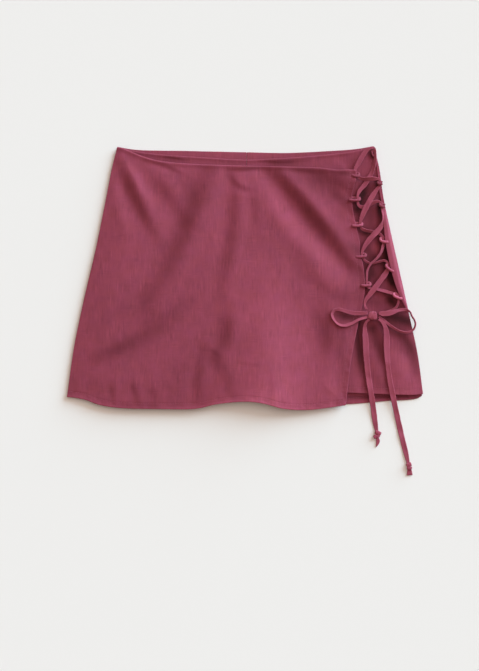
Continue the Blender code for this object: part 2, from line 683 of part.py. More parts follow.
def add_placket(collection):
    """The narrow placket beside the right side seam, which stands off so that its loops can."""
    columns, rows = PLACKET_CELLS
    seam = smooth_line(RIGHT_SIDE)[::-1]
    inner = spaced(smooth_line([(0.0, row.y, row.width, row.lift) for row in PLACKET]), rows)
    grid = np.zeros((rows + 1, columns + 1, 3))
    for place, (_, y, width, lift) in zip(grid, inner):
        seam_x = np.interp(y, seam[:, 1], seam[:, 0])
        share = np.linspace(1.0, 0.0, columns + 1)
        place[:, 0] = seam_x - width * share
        place[:, 1] = y
        place[:, 2] = OVERLAY_BASE + max(lift, 0.0) * ease(share / PLACKET_RISE)
    cloth_panel(collection, "side_placket", grid, LINEN_LACE)


def add_loops(collection):
    """The button loops on both edges and the corner loop that holds the lace's middle."""
    for name, loop in LOOPS.items():
        base = np.array([loop.base_x, loop.base_y])
        tip = np.array([loop.tip_x, loop.tip_y])
        along = (tip - base) / np.linalg.norm(tip - base)
        radius = (loop.high - loop.low) / 2
        bend = tip - along * (radius + LOOP_CORD / 2)         # middle of the bend's half circle
        points = [(*base, loop.low)]
        for angle in np.linspace(-math.pi / 2, math.pi / 2, LOOP_BEND_POINTS):
            place = bend + along * radius * math.cos(angle)
            points.append((*place, loop.low + radius + radius * math.sin(angle)))
        points.append((*base, loop.high))
        cord(collection, name, points, LOOP_CORD / 2, LINEN_LACE)
    corner = [(x, y, CORNER_LOOP_Z) for x, y in CORNER_LOOP]
    cord(collection, "loop_corner", corner, CORNER_LOOP_CORD / 2, LINEN_LACE)


def add_lace(collection):
    """Both halves of the lace, the bow's loops and the tails with their cut ends."""
    for name, (route, count) in LACE_PIECES.items():
        tape(collection, name, route, count, LINEN_LACE)


def add_knots(collection):
    """The bow's knot and the knots near the tails' ends, as rounded blocks."""
    for name, knot in KNOTS.items():
        form = bmesh.new()
        bmesh.ops.create_cube(form, size=1.0)
        size = (knot.width * MM, knot.length * MM, knot.height * MM)
        bmesh.ops.scale(form, vec=size, verts=form.verts)
        mesh = bpy.data.meshes.new(name)
        form.to_mesh(mesh)
        form.free()
        mesh.shade_smooth()
        obj = add_object(collection, name, mesh, LINEN_LACE)
        obj.location = (knot.x * MM, knot.y * MM, knot.z * MM)
        obj.rotation_euler = (0.0, 0.0, math.radians(knot.turn))
        rounding = obj.modifiers.new("rounding", "BEVEL")
        rounding.width = knot.height * KNOT_ROUNDING * MM
        rounding.segments = KNOT_SEGMENTS


def main():
    """Clear the scene and build every piece."""
    for obj in list(bpy.data.objects):
        bpy.data.objects.remove(obj)
    collection = bpy.data.collections.new("skort")
    bpy.context.scene.collection.children.link(collection)
    add_shorts(collection)
    add_overlay(collection)
    add_placket(collection)
    add_loops(collection)
    add_lace(collection)
    add_knots(collection)


if __name__ == "__main__":
    main()
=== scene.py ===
"""Dresses the flat skort: linen shells, lace, bow, button loops and stitching, with its stage and camera.

Sizes in the tables are millimetres in the model's own frame: +X to the right across the front, +Y to the
waist and +Z up from the surface that the skort lies on.
"""

import json
import math
from collections import namedtuple

import bpy
import numpy as np
from bpy.props import FloatProperty, FloatVectorProperty, IntProperty, PointerProperty
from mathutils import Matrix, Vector

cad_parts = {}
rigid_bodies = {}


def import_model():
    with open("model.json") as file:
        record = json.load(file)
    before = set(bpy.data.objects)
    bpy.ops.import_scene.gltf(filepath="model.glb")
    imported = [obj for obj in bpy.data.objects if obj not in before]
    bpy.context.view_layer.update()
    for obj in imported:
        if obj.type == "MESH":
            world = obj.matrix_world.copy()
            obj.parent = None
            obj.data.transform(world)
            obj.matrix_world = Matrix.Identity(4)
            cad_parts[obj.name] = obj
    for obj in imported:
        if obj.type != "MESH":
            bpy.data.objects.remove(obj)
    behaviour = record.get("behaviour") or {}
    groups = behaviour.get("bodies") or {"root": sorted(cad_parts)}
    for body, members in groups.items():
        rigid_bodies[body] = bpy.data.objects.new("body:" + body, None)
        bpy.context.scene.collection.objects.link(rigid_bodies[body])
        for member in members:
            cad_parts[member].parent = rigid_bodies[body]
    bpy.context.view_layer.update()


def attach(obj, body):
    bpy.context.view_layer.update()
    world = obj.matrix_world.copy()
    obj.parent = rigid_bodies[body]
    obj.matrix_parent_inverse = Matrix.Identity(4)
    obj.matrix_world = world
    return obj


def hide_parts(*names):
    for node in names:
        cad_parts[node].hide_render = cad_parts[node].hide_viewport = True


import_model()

bl_info = {
    "name": "Laced skort",
    "version": (1, 0, 0),
    "blender": (4, 5, 0),
    "location": "View3D > Sidebar > Skort",
    "description": "Dresses a linen skort laid flat, with its laced overlay, bow and stitching",
    "category": "Add Mesh",
}

MM = 0.001                  # metres in a millimetre

# ---------------------------------------------------------------------------
# Layers and outlines, as the solids have them. Lift is the height of the cloth over its layer's base.
# ---------------------------------------------------------------------------

CLOTH = 1.2                 # one layer of linen, as thick as its turned edges
LAYER_GAP = 0.4             # parting between two layers that lie on each other
SEAM_GAP = 0.3              # parting between two panels at a seam
CENTRE_SEAM_X = 3.0         # centre front and centre back seams
CROTCH_Y = -98.0            # where the four shorts panels meet
LEG_PARTING = 8.0           # from the centre seam to the inner corner of each leg's hem
HEM_LIFT_SHARE = 0.5        # share of a leg's length over which its hem's lift builds up
SIDE_ROLL = 1.5             # the overlay rounds up by this much from its sewn side
SIDE_ROLL_REACH = 8.0       # distance over which it does
LACE_SIDE_REACH = 30.0      # distance from its free edge in which the rounding fades out
FRONT_BASE = CLOTH + LAYER_GAP                      # under side of the shorts' fronts
OVERLAY_BASE = FRONT_BASE + CLOTH + SEAM_GAP        # under side of the overlay at its sewn side
OVERLAY_RISE = 2.6          # how much higher the overlay's middle lies than its edges
OVERLAY_RISE_REACH = 45.0   # distance from an edge over which it rises

SPAN_SAMPLES = 12           # fine steps between two rows of a line
FOLD_SAMPLES = 48           # points along a fold's line
FOLD_FADE = 0.4             # share of a fold's line over which each end fades
DARKEST_PAINTED_SHADE = 0.14         # creases that lie on each other make the painted shade no darker than this
HEM_PAINTED_LIGHT = 0.12            # painted highlight: how much lighter the colour is made along the overlay's rolled hem
FAR_FROM_HEM = 30.0         # stands for the distance to a stitched hem where a piece has none

Edge = namedtuple("Edge", "x y lift")

LEFT_SIDE = [
    Edge(-180.5, 186.0, 0.0),
    Edge(-188.0, 156.0, 0.0),
    Edge(-198.0, 105.0, 0.0),
    Edge(-212.0, 37.0, 0.0),
    Edge(-228.0, -31.0, 0.0),
    Edge(-242.0, -99.0, 0.0),
    Edge(-252.0, -169.0, 0.0),
]

RIGHT_SIDE = [
    Edge(183.0, 187.0, 0.0),
    Edge(191.0, 156.0, 0.0),
    Edge(197.0, 114.0, 0.0),
    Edge(208.0, 62.0, 0.0),
    Edge(217.5, 20.0, 0.0),
    Edge(231.0, -40.0, 0.0),
    Edge(245.6, -108.0, 0.0),
    Edge(253.4, -165.0, 0.0),
]

BACK_WAIST = [
    Edge(-179.5, 186.0, 0.0),
    Edge(-154.0, 182.0, 0.0),
    Edge(-83.0, 180.4, 0.0),
    Edge(3.0, 178.5, 0.0),
    Edge(60.0, 177.5, 0.0),
    Edge(116.0, 180.0, 0.0),
    Edge(158.0, 183.0, 0.0),
    Edge(182.5, 187.0, 0.0),
]

FRONT_WAIST = [
    Edge(-179.5, 184.5, 0.0),
    Edge(-134.0, 177.0, 0.0),
    Edge(-63.0, 171.5, 0.0),
    Edge(3.0, 168.0, 0.0),
    Edge(43.0, 169.5, 0.0),
    Edge(121.0, 175.5, 0.0),
    Edge(157.0, 180.3, 0.0),
    Edge(183.0, 186.5, 0.0),
]

BACK_HEM = [
    Edge(-250.0, -165.0, 0.0),
    Edge(-243.0, -167.5, 0.0),
    Edge(-201.0, -174.5, 0.0),
    Edge(-147.0, -179.0, 0.0),
    Edge(-60.0, -178.0, 0.0),
    Edge(3.0, -171.0, 0.0),
    Edge(60.0, -178.0, 0.0),
    Edge(147.0, -179.0, 0.0),
    Edge(201.0, -174.7, 0.0),
    Edge(243.5, -171.4, 0.0),
    Edge(252.0, -167.4, 0.0),
]

FRONT_HEM = [
    Edge(-250.0, -162.5, 0.0),
    Edge(-130.0, -161.5, 0.3),
    Edge(3.0, -161.0, 0.0),
    Edge(120.0, -162.0, 0.4),
    Edge(165.0, -163.6, 1.8),
    Edge(215.0, -165.6, 1.9),
    Edge(240.0, -166.0, 0.9),
    Edge(253.4, -165.0, 0.0),
]

OVERLAY_WAIST = [
    Edge(-180.5, 186.0, 0.0),
    Edge(-172.0, 184.0, 0.0),
    Edge(-145.5, 173.0, 0.2),
    Edge(-120.0, 166.0, 0.4),
    Edge(-63.0, 161.2, 0.7),
    Edge(8.0, 159.0, 0.7),
    Edge(64.5, 157.6, 0.9),
    Edge(107.0, 156.2, 1.5),
    Edge(130.0, 153.3, 2.6),
    Edge(147.0, 153.5, 4.9),
    Edge(157.5, 153.0, 5.5),
]

OVERLAY_FREE_EDGE = [
    Edge(157.5, 153.0, 5.5),
    Edge(157.8, 140.0, 5.5),
    Edge(152.3, 116.0, 3.4),
    Edge(154.5, 92.0, 3.4),
    Edge(161.0, 62.0, 3.4),
    Edge(163.5, 50.0, 3.4),
    Edge(163.5, 36.0, 3.4),
    Edge(168.5, 16.0, 3.4),
    Edge(170.5, -18.0, 3.4),
    Edge(161.5, -64.0, 3.4),
    Edge(152.0, -112.0, 3.8),
    Edge(143.5, -180.5, 4.6),
]

OVERLAY_HEM = [
    Edge(-252.0, -169.0, 0.0),
    Edge(-239.0, -170.4, 0.8),
    Edge(-224.0, -173.5, 1.6),
    Edge(-208.0, -179.5, 2.4),
    Edge(-180.0, -184.3, 3.2),
    Edge(-120.0, -186.0, 4.2),
    Edge(-68.0, -185.5, 5.2),
    Edge(-40.0, -179.2, 8.0),
    Edge(2.0, -175.4, 11.0),
    Edge(25.0, -177.7, 10.8),
    Edge(55.0, -185.5, 8.6),
    Edge(87.0, -187.4, 6.2),
    Edge(116.0, -184.6, 5.0),
    Edge(143.5, -180.5, 4.6),
]

PlacketRow = namedtuple("PlacketRow", "y width lift")

PLACKET = [
    PlacketRow(178.0, 2.8, 0.0),
    PlacketRow(125.0, 4.2, 0.0),
    PlacketRow(100.0, 4.2, 0.2),
    PlacketRow(84.0, 6.4, 4.4),
    PlacketRow(60.0, 10.0, 5.0),
    PlacketRow(25.0, 12.0, 5.2),
    PlacketRow(-10.0, 10.6, 5.0),
    PlacketRow(-28.0, 7.2, 4.0),
    PlacketRow(-40.0, 4.0, 1.8),
    PlacketRow(-47.0, 2.2, 0.0),
]
PLACKET_RISE = 0.45         # share of its width in which the placket rises from the side seam

# ---------------------------------------------------------------------------
# Folds: ridges and troughs along a bent line, and creases, which tilt the cloth across their line by the
# given rise per millimetre towards the line's left side. Each crease's painted shading says how much
# lighter (painted light) or darker and duller (painted shade) its colour is made along it, standing in
# for the light and shade of the folds, gaps and lace. The shares say how much of a fold is left at each
# end of its line.
# ---------------------------------------------------------------------------

Fold = namedtuple("Fold", "start middle end height half_width start_share end_share")
Crease = namedtuple("Crease", "start middle end tilt half_width tone start_share end_share")

OVERLAY_FOLDS = {
    "corner_dark": Crease((-176, 162), (-156, 117), (-123, 48), 0.44, 12.0, -0.13, 0.2, 0.2),
    "corner_bright": Crease((-171, 170), (-151, 139), (-114, 80), -0.12, 9.0, 0.03, 0.5, 0.0),
    "second_dark": Crease((-136, 152), (-112, 122), (-84, 80), 0.20, 14.0, -0.09, 0.2, 0.6),
    "waist_left_dark": Crease((-137, 166), (-113, 159), (-83, 145), 0.26, 5.0, 0.0, 0.6, 0.2),
    "side_bright": Crease((-180, 118), (-168, 82), (-155, 47), -0.08, 9.0, 0.01, 0.3, 0.3),
    "long_dark": Crease((-52, 151), (-85, 66), (-137, -32), 0.44, 19.0, -0.16, 0.5, 0.5),
    "third_dark": Crease((-16, 150), (-17, 75), (-36, -22), 0.26, 13.0, -0.08, 0.6, 0.4),
    "middle_small": Crease((-21, 146), (-6, 129), (16, 125), 0.24, 6.0, -0.02, 0.7, 0.2),
    "middle_spot": Crease((8, 126), (14, 98), (17, 72), 0.12, 9.0, -0.09, 0.3, 0.3),
    "valley": Crease((33, 158), (85, 102), (150, 19), 0.62, 15.0, -0.15, 0.5, 0.6),
    "ridge_low": Crease((26, 142), (74, 66), (146, 6), -0.18, 16.0, 0.11, 0.3, 0.15),
    "waist_right_dark": Crease((86, 150), (122, 140), (151, 122), 0.22, 16.0, -0.25, 0.5, 0.6),
    "second_right": Crease((114, 126), (134, 114), (149, 94), 0.14, 9.0, -0.10, 0.3, 0.8),
    "waist_mid_dark": Crease((-23, 154), (1, 154), (25, 158), 0.26, 4.5, -0.14, 0.5, 0.8),
    "low_left_dark": Crease((-84, -36), (-146, -84), (-209, -114), -0.05, 14.0, -0.24, 0.4, 0.3),
    "low_left_core": Crease((-155, -86), (-184, -102), (-214, -118), -0.05, 9.0, -0.15, 0.2, 0.5),
    "low_left_soft": Crease((-110, -28), (-158, -40), (-202, -66), 0.04, 19.0, -0.17, 0.3, 0.3),
    "hem_fork_top": Crease((-24, -43), (-25, -78), (-40, -106), 0.26, 14.0, -0.16, 0.1, 0.3),
    "hem_fork_right": Crease((-53, -101), (-38, -118), (-19, -164), 0.12, 13.0, -0.12, 0.4, 0.4),
    "hem_fork_left": Crease((-58, -105), (-66, -138), (-67, -173), 0.22, 10.0, -0.07, 0.6, 0.5),
    "hem_fork_out": Crease((-75, -116), (-89, -131), (-111, -142), 0.04, 12.0, -0.12, 0.3, 0.2),
    "hem_left_one": Crease((-187, -150), (-187, -160), (-185, -174), 0.12, 5.5, -0.13, 0.2, 0.5),
    "hem_left_two": Crease((-160, -147), (-156, -158), (-151, -174), 0.12, 7.0, -0.15, 0.3, 0.5),
    "hem_left_three": Crease((-131, -153), (-128, -165), (-130, -176), 0.10, 8.0, -0.10, 0.2, 0.5),
    "light_right": Crease((52, -20), (62, -96), (66, -176), -0.09, 46.0, 0.07, 0.2, 1.0),
    "above_bow": Crease((79, 23), (114, -14), (153, -28), 0.14, 15.0, -0.06, 0.2, 0.8),
    "bow_dark": Crease((112, -36), (117, -78), (112, -122), 0.22, 18.0, -0.22, 0.3, 0.1),
    "bow_side_dark": Crease((141, -40), (138, -100), (142, -166), 0.10, 11.0, -0.19, 0.6, 0.5),
    "corner_light": Crease((-179, 150), (-176, 112), (-160, 58), 0.0, 8.0, 0.18, 0.3, 0.2),
    "shoulder_soft": Crease((-98, 150), (-79, 126), (-88, 92), 0.0, 16.0, -0.18, 0.4, 0.3),
    "between_light": Crease((-38, 122), (-36, 72), (-46, 14), 0.0, 9.0, 0.03, 0.2, 0.2),
    "light_middle": Crease((8, 12), (20, -84), (20, -176), 0.0, 34.0, 0.12, 0.1, 1.0),
    "light_hem": Crease((-14, -172), (50, -162), (128, -170), 0.0, 20.0, 0.21, 0.6, 0.5),
    "low_left_broad": Crease((-66, -50), (-130, -112), (-205, -150), 0.0, 55.0, -0.07, 0.5, 0.5),
    "hem_left_band": Crease((-196, -180), (-150, -184), (-100, -184), 0.0, 7.0, -0.22, 0.3, 0.2),
    "bow_shade": Crease((129, -51), (146, -56), (166, -59), 0.0, 5.5, -0.52, 0.7, 0.8),
    "edge_shade": Crease((164, 8), (167, -14), (162, -60), 0.0, 7.0, -0.12, 0.6, 0.3),
    "valley_end": Crease((150, 50), (159, 40), (164, 32), 0.0, 6.0, -0.26, 0.4, 0.4),
    "hem_fork_line": Crease((-48, -101), (-40, -107), (-33, -114), 0.14, 3.0, -0.08, 0.5, 0.3),
    "hem_middle": Crease((32, -126), (38, -144), (37, -172), 0.12, 6.0, -0.09, 0.3, 0.5),
    "hem_across": Crease((-10, -119), (10, -123), (30, -122), 0.10, 3.5, -0.03, 0.2, 0.3),
    "light_upper": Crease((0, 36), (22, 12), (44, -8), 0.0, 16.0, 0.10, 0.4, 0.4),
    "corner_under": Crease((126, 149), (140, 148), (153, 147), 0.0, 4.5, -0.30, 0.4, 0.7),
    "corner_edge": Crease((144, 134), (148, 124), (149, 108), 0.0, 7.0, -0.06, 0.6, 0.4),
    "edge_soft": Crease((147, 64), (153, 20), (154, -50), 0.0, 12.0, -0.08, 0.4, 0.5),
    "waist_right_line": Crease((50, 156), (84, 152), (114, 149), 0.20, 5.5, -0.11, 0.5, 0.5),
    "valley_right": Crease((118, 96), (137, 72), (147, 48), 0.0, 12.0, -0.11, 0.3, 0.4),
    "hem_fork_soft": Crease((-52, -92), (-58, -126), (-58, -172), 0.0, 13.0, -0.09, 0.4, 0.7),
    "long_tail_soft": Crease((98, -30), (96, -70), (96, -120), 0.0, 10.0, -0.07, 0.3, 0.3),
    "valley_soft": Crease((68, 108), (104, 80), (140, 54), 0.0, 16.0, -0.11, 0.4, 0.5),
    "second_right_soft": Crease((120, 122), (134, 112), (148, 100), 0.0, 9.0, -0.16, 0.4, 0.5),
    "waist_right_soft": Crease((82, 142), (104, 138), (126, 131), 0.0, 9.0, -0.11, 0.4, 0.5),
    "light_lower_right": Crease((94, 44), (108, 18), (112, -12), 0.0, 14.0, 0.09, 0.4, 0.5),
    "light_lower_left": Crease((-12, 12), (-14, -12), (-28, -38), 0.0, 12.0, 0.08, 0.5, 0.5),
    "middle_dark": Crease((-36, -68), (-34, -90), (-38, -114), 0.0, 9.0, -0.10, 0.5, 0.5),
    "middle_right_dark": Crease((76, 16), (79, -3), (76, -26), 0.0, 9.0, -0.09, 0.5, 0.5),
    "edge_middle": Crease((160, 40), (164, 14), (167, -14), 0.0, 5.0, -0.18, 0.5, 0.5),
    "valley_upper": Crease((56, 151), (94, 129), (136, 92), 0.0, 10.0, -0.15, 0.6, 0.4),
    "front_ridge": Fold((29, -2), (34, -88), (25, -168), 1.6, 26.0, 0.0, 0.7),
}

# Painted shade along the left front's waist, where it runs under the overlay's edge.
FRONT_LEFT_FOLDS = {
    "waist_dark": Crease((-120, 172), (-99, 169), (-80, 166), 0.35, 3.5, -0.16, 0.2, 0.2),
    "waist_soft": Crease((-176, 182), (-120, 173), (-60, 168), 0.0, 8.0, -0.14, 0.6, 0.2),
}

# Creases and folds on the right front. Most of the creases only darken it: painted shadow in the lacing's
# gaps, beside the placket and the overlay's free edge, and under the bow, its knot and tails. A few add
# painted light.
FRONT_RIGHT_FOLDS = {
    "waist_dark": Crease((24, 165), (50, 163), (88, 165), 0.35, 6.0, -0.30, 0.3, 0.3),
    "waist_light": Crease((133, 168), (140, 162), (147, 153), -0.15, 6.0, 0.06, 0.3, 0.5),
    "gap_all_high": Crease((172, 150), (177, 110), (182, 62), 0.0, 13.0, -0.20, 0.3, 0.8),
    "gap_all_low": Crease((184, 50), (190, 4), (192, -48), 0.0, 19.0, -0.21, 0.8, 0.35),
    "gap_waist": Crease((134, 175), (146, 171), (153, 160), 0.0, 7.0, -0.18, 0.5, 0.4),
    "gap_right_low": Crease((198, 12), (206, -2), (208, -12), 0.0, 7.0, -0.30, 0.5, 0.5),
    "gap_corner": Crease((176, 180), (181, 175), (186, 166), 0.0, 5.5, -0.74, 0.7, 0.2),
    "gap_top_right": Crease((185, 142), (188, 136), (189, 126), 0.0, 5.0, -0.65, 0.8, 0.6),
    "gap_top_left": Crease((174, 130), (165, 115), (159, 97), 0.0, 8.0, -0.78, 0.6, 0.8),
    "gap_high": Crease((191, 120), (192, 99), (192, 80), 0.0, 5.0, -0.84, 0.3, 0.4),
    "gap_high_middle": Crease((176, 108), (178, 92), (178, 76), 0.0, 9.0, -0.20, 0.5, 0.5),
    "gap_high_light": Crease((183, 104), (184, 85), (184, 60), 0.0, 4.0, 0.10, 0.3, 0.3),
    "gap_middle_left": Crease((160, 72), (170, 65), (181, 61), 0.0, 6.0, -0.60, 0.6, 0.4),
    "gap_middle_right": Crease((193, 54), (202, 36), (207, 17), 0.0, 8.5, -0.80, 0.5, 0.7),
    "gap_middle_light": Crease((183, 52), (186, 42), (187, 33), 0.0, 5.5, 0.42, 0.5, 0.5),
    "gap_low_top": Crease((177, 38), (188, 26), (204, 18), 0.0, 8.0, -0.46, 0.5, 0.5),
    "long_tail_dark": Crease((199, -126), (201, -148), (204, -165), 0.0, 3.5, -0.35, 0.3, 0.8),
    "gap_low_left": Crease((175, 23), (180, 9), (185, -3), 0.0, 8.0, -0.50, 0.5, 0.4),
    "gap_low_right": Crease((205, 9), (209, -4), (214, -13), 0.0, 5.0, -0.74, 0.6, 0.6),
    "gap_bottom_right": Crease((204, -23), (209, -33), (219, -42), 0.0, 6.5, -0.75, 0.5, 0.6),
    "gap_bottom_middle": Crease((176, -28), (184, -36), (198, -36), 0.0, 9.0, -0.30, 0.6, 0.6),
    "gap_edge": Crease((160, 112), (163, 88), (163, 66), 0.0, 6.0, -0.22, 0.6, 0.3),
    "gap_edge_low": Crease((170, 16), (172, -6), (171, -32), 0.0, 6.0, -0.42, 0.5, 0.4),
    "gap_edge_middle": Crease((168, 50), (168, 40), (166, 30), 0.0, 6.0, -0.32, 0.5, 0.5),
    "leg_low": Crease((180, -138), (188, -148), (197, -158), 0.0, 10.0, -0.17, 0.5, 0.6),
    "gap_under_left": Crease((171, 4), (176, -2), (182, -4), 0.0, 6.0, -0.22, 0.5, 0.5),
    "knot_dark": Crease((166, -66), (180, -69), (192, -67), 0.0, 8.5, -0.30, 0.8, 0.6),
    "tail_dark": Crease((161, -60), (162, -98), (172, -158), 0.0, 6.0, -0.78, 1.0, 0.4),
    "tail_light": Crease((163, -138), (164, -149), (163, -160), 0.0, 5.5, 0.14, 0.5, 1.0),
    "leg_ridge_inner": Fold((176, -84), (187, -124), (197, -160), 1.4, 8.0, 0.0, 0.3),
    "leg_dark": Crease((181, -74), (191, -102), (197, -130), 0.10, 8.0, -0.52, 0.9, 0.4),
    "leg_ridge_outer": Fold((212, -100), (222, -128), (230, -160), 1.6, 14.0, 0.0, 0.2),
    "leg_light": Crease((214, -108), (224, -130), (226, -160), 0.0, 18.0, 0.18, 0.4, 0.8),
    "bow_inside": Crease((205, -56), (220, -58), (238, -63), 0.0, 10.5, -0.82, 0.8, 0.9),
    "bow_below": Crease((205, -72), (231, -93), (243, -132), 0.15, 9.5, -0.56, 0.7, 0.45),
}

# Soft folds that run through all the layers.
SHARED_FOLDS = {
    "seat_left": Fold((-95, 120), (-112, 40), (-150, -60), 0.7, 17.0, 0.0, 0.0),
    "seat_right": Fold((70, 90), (104, 20), (118, -70), 0.8, 18.0, 0.0, 0.0),
    "seat_middle": Fold((-30, 60), (-12, -10), (-30, -90), 0.6, 15.0, 0.0, 0.0),
    "leg_left": Fold((-180, -60), (-176, -110), (-190, -160), 0.6, 14.0, 0.0, 0.2),
    "leg_right": Fold((60, -90), (82, -130), (84, -168), 0.6, 16.0, 0.0, 0.2),
}

# The light along the back's waist, and the shade on it under the front's hem.
BACK_FOLDS = {
    "waist_light": Crease((-70, 181), (10, 179), (90, 179), 0.0, 4.0, 0.20, 0.4, 0.4),
    "hem_shade": Crease((148, -169), (196, -169), (249, -169), 0.0, 3.6, -0.60, 0.8, 0.8),
}

# ---------------------------------------------------------------------------
# Button loops. Each is a cord bent to a U that stands on its side: low and high are its legs' heights, and
# spread is how far they lie to each side. The base is where the legs end, and the tip is the bend's outer
# side.
# ---------------------------------------------------------------------------

# The last column is painted shading: it lightens loops that catch the light (painted light) and darkens those
# that lie in the lacing's shadow (painted shade).
Loop = namedtuple("Loop", "base_x base_y tip_x tip_y low high spread tone")

LOOPS = {
    "loop_left_1": Loop(152.5, 146.5, 164.0, 146.0, 4.8, 10.6, 2.3, 0.74),
    "loop_left_2": Loop(148.0, 111.5, 165.0, 112.0, 4.8, 9.6, 1.9, 0.86),
    "loop_left_3": Loop(152.5, 75.0, 168.5, 76.5, 4.8, 9.6, 1.9, 1.16),
    "loop_left_4": Loop(157.0, 31.0, 173.5, 32.5, 4.8, 9.6, 1.9, 0.84),
    "loop_left_5": Loop(165.5, -9.5, 180.0, -8.5, 4.8, 9.6, 1.9, 1.0),
    "loop_right_1": Loop(194.2, 134.2, 187.0, 134.8, 6.2, 11.0, 1.9, 0.60),
    "loop_right_2": Loop(197.8, 102.0, 189.8, 104.6, 6.2, 11.0, 1.9, 0.66),
    "loop_right_3": Loop(203.6, 52.6, 190.6, 55.6, 4.8, 9.6, 2.8, 1.34),
    "loop_right_4": Loop(212.0, 10.0, 199.6, 19.6, 4.8, 9.6, 2.5, 1.16),
    "loop_right_5": Loop(223.6, -28.4, 209.6, -22.4, 4.8, 9.6, 2.2, 1.55),
}

# The corner loop lies level at the top of the side seam.
CORNER_LOOP = [
    (186.6, 171.0), (185.4, 175.5), (183.6, 179.4), (181.4, 180.2), (180.6, 177.8), (182.8, 172.2),
]
CORNER_LOOP_Z = 6.0
CORNER_LOOP_CORD = 2.0

# ---------------------------------------------------------------------------
# The lace. Lean rolls the tape about its line (0 is flat), and share is how much of its width is spread.
# ---------------------------------------------------------------------------

Lace = namedtuple("Lace", "x y z lean share")

LACE_A = [
    Lace(181.8, 184.6, 9.0, 0, 0.42),
    Lace(176.8, 183.2, 9.0, 0, 0.52),
    Lace(170.6, 177.6, 8.6, 0, 0.80),
    Lace(161.2, 162.4, 7.7, 8, 0.86),
    Lace(156.8, 154.2, 7.3, 0, 0.55),
    Lace(156.8, 148.4, 7.2, 0, 0.45),
    Lace(160.5, 143.4, 7.6, -10, 0.50),
    Lace(166.0, 140.4, 8.6, -32, 0.72),
    Lace(175.0, 140.2, 9.4, -42, 0.86),
    Lace(184.0, 140.4, 9.3, -32, 0.72),
    Lace(189.8, 139.6, 8.8, -10, 0.44),
    Lace(192.3, 137.0, 8.6, 0, 0.38),
    Lace(192.0, 132.5, 8.6, 0, 0.38),
    Lace(189.0, 127.5, 8.7, -2, 0.55),
    Lace(183.8, 120.0, 8.9, -4, 0.86),
    Lace(176.5, 108.0, 9.1, -6, 0.95),
    Lace(168.5, 92.0, 8.7, -4, 0.90),
    Lace(164.8, 82.0, 7.8, 0, 0.62),
    Lace(164.0, 75.5, 7.2, 0, 0.42),
    Lace(165.5, 70.4, 6.8, -15, 0.48),
    Lace(171.5, 67.4, 6.2, -34, 0.64),
    Lace(180.5, 65.6, 6.0, -34, 0.66),
    Lace(189.5, 63.2, 6.2, -30, 0.58),
    Lace(194.8, 59.5, 6.9, -10, 0.46),
    Lace(196.7, 53.5, 7.2, 0, 0.38),
    Lace(196.2, 46.0, 7.5, 24, 0.58),
    Lace(193.5, 36.5, 8.0, 42, 0.68),
    Lace(186.5, 27.0, 8.6, 44, 0.50),
    Lace(178.5, 19.5, 9.0, 36, 0.40),
    Lace(174.0, 10.5, 8.4, 24, 0.40),
    Lace(173.2, 0.5, 7.5, 10, 0.40),
    Lace(173.4, -8.5, 7.2, 0, 0.38),
    Lace(175.0, -13.3, 6.5, 6, 0.42),
    Lace(180.0, -15.2, 5.9, 14, 0.46),
    Lace(188.0, -16.4, 5.7, 22, 0.54),
    Lace(202.0, -19.8, 6.2, 24, 0.58),
    Lace(213.0, -23.4, 7.0, 12, 0.48),
    Lace(217.3, -26.5, 7.2, 0, 0.40),
    Lace(218.0, -34.0, 6.2, 0, 0.42),
    Lace(215.0, -41.5, 5.0, 0, 0.45),
    Lace(206.0, -47.0, 4.7, 0, 0.48),
    Lace(191.5, -51.0, 5.6, 0, 0.48),
]

LACE_B = [
    Lace(181.2, 184.6, 8.8, 0, 0.42),
    Lace(183.2, 184.0, 8.4, 0, 0.42),
    Lace(184.6, 181.4, 7.4, -20, 0.42),
    Lace(185.2, 177.0, 6.6, -36, 0.48),
    Lace(185.3, 170.6, 6.2, -42, 0.56),
    Lace(184.3, 161.5, 6.0, -38, 0.66),
    Lace(181.4, 151.8, 5.6, -18, 0.74),
    Lace(177.0, 142.5, 5.4, 0, 0.82),
    Lace(170.4, 132.2, 5.9, 0, 0.82),
    Lace(163.0, 123.4, 6.8, 0, 0.66),
    Lace(160.3, 116.5, 7.2, 0, 0.45),
    Lace(160.3, 109.5, 7.2, 0, 0.42),
    Lace(161.5, 103.2, 6.8, -8, 0.50),
    Lace(166.5, 100.2, 6.2, -22, 0.66),
    Lace(173.5, 102.0, 6.1, -34, 0.76),
    Lace(182.0, 106.4, 6.8, -34, 0.74),
    Lace(189.6, 108.4, 8.2, -10, 0.46),
    Lace(193.6, 105.8, 8.6, 0, 0.38),
    Lace(194.2, 100.0, 8.6, 10, 0.38),
    Lace(196.0, 89.0, 8.3, 50, 0.46),
    Lace(196.2, 80.0, 8.6, 36, 0.56),
    Lace(192.0, 70.8, 9.0, 8, 0.86),
    Lace(183.5, 61.5, 9.2, -6, 0.95),
    Lace(175.5, 52.5, 8.8, -4, 0.92),
    Lace(169.5, 43.5, 7.9, 0, 0.72),
    Lace(166.6, 36.5, 7.2, 0, 0.45),
    Lace(167.0, 30.0, 7.2, 0, 0.40),
    Lace(171.5, 24.0, 6.2, -10, 0.40),
    Lace(179.5, 20.5, 5.6, -25, 0.40),
    Lace(190.0, 22.9, 5.9, -38, 0.46),
    Lace(198.0, 24.6, 6.6, -26, 0.44),
    Lace(203.0, 21.3, 7.2, 0, 0.36),
    Lace(203.8, 15.5, 7.2, 0, 0.46),
    Lace(200.6, 7.5, 7.7, 4, 0.92),
    Lace(193.0, -3.0, 8.6, -6, 0.95),
    Lace(184.5, -14.5, 9.1, -6, 0.95),
    Lace(177.0, -24.0, 8.6, -4, 0.86),
    Lace(171.5, -32.0, 7.9, 0, 0.55),
    Lace(170.4, -39.0, 7.6, 0, 0.40),
    Lace(173.2, -45.0, 7.8, 0, 0.40),
]

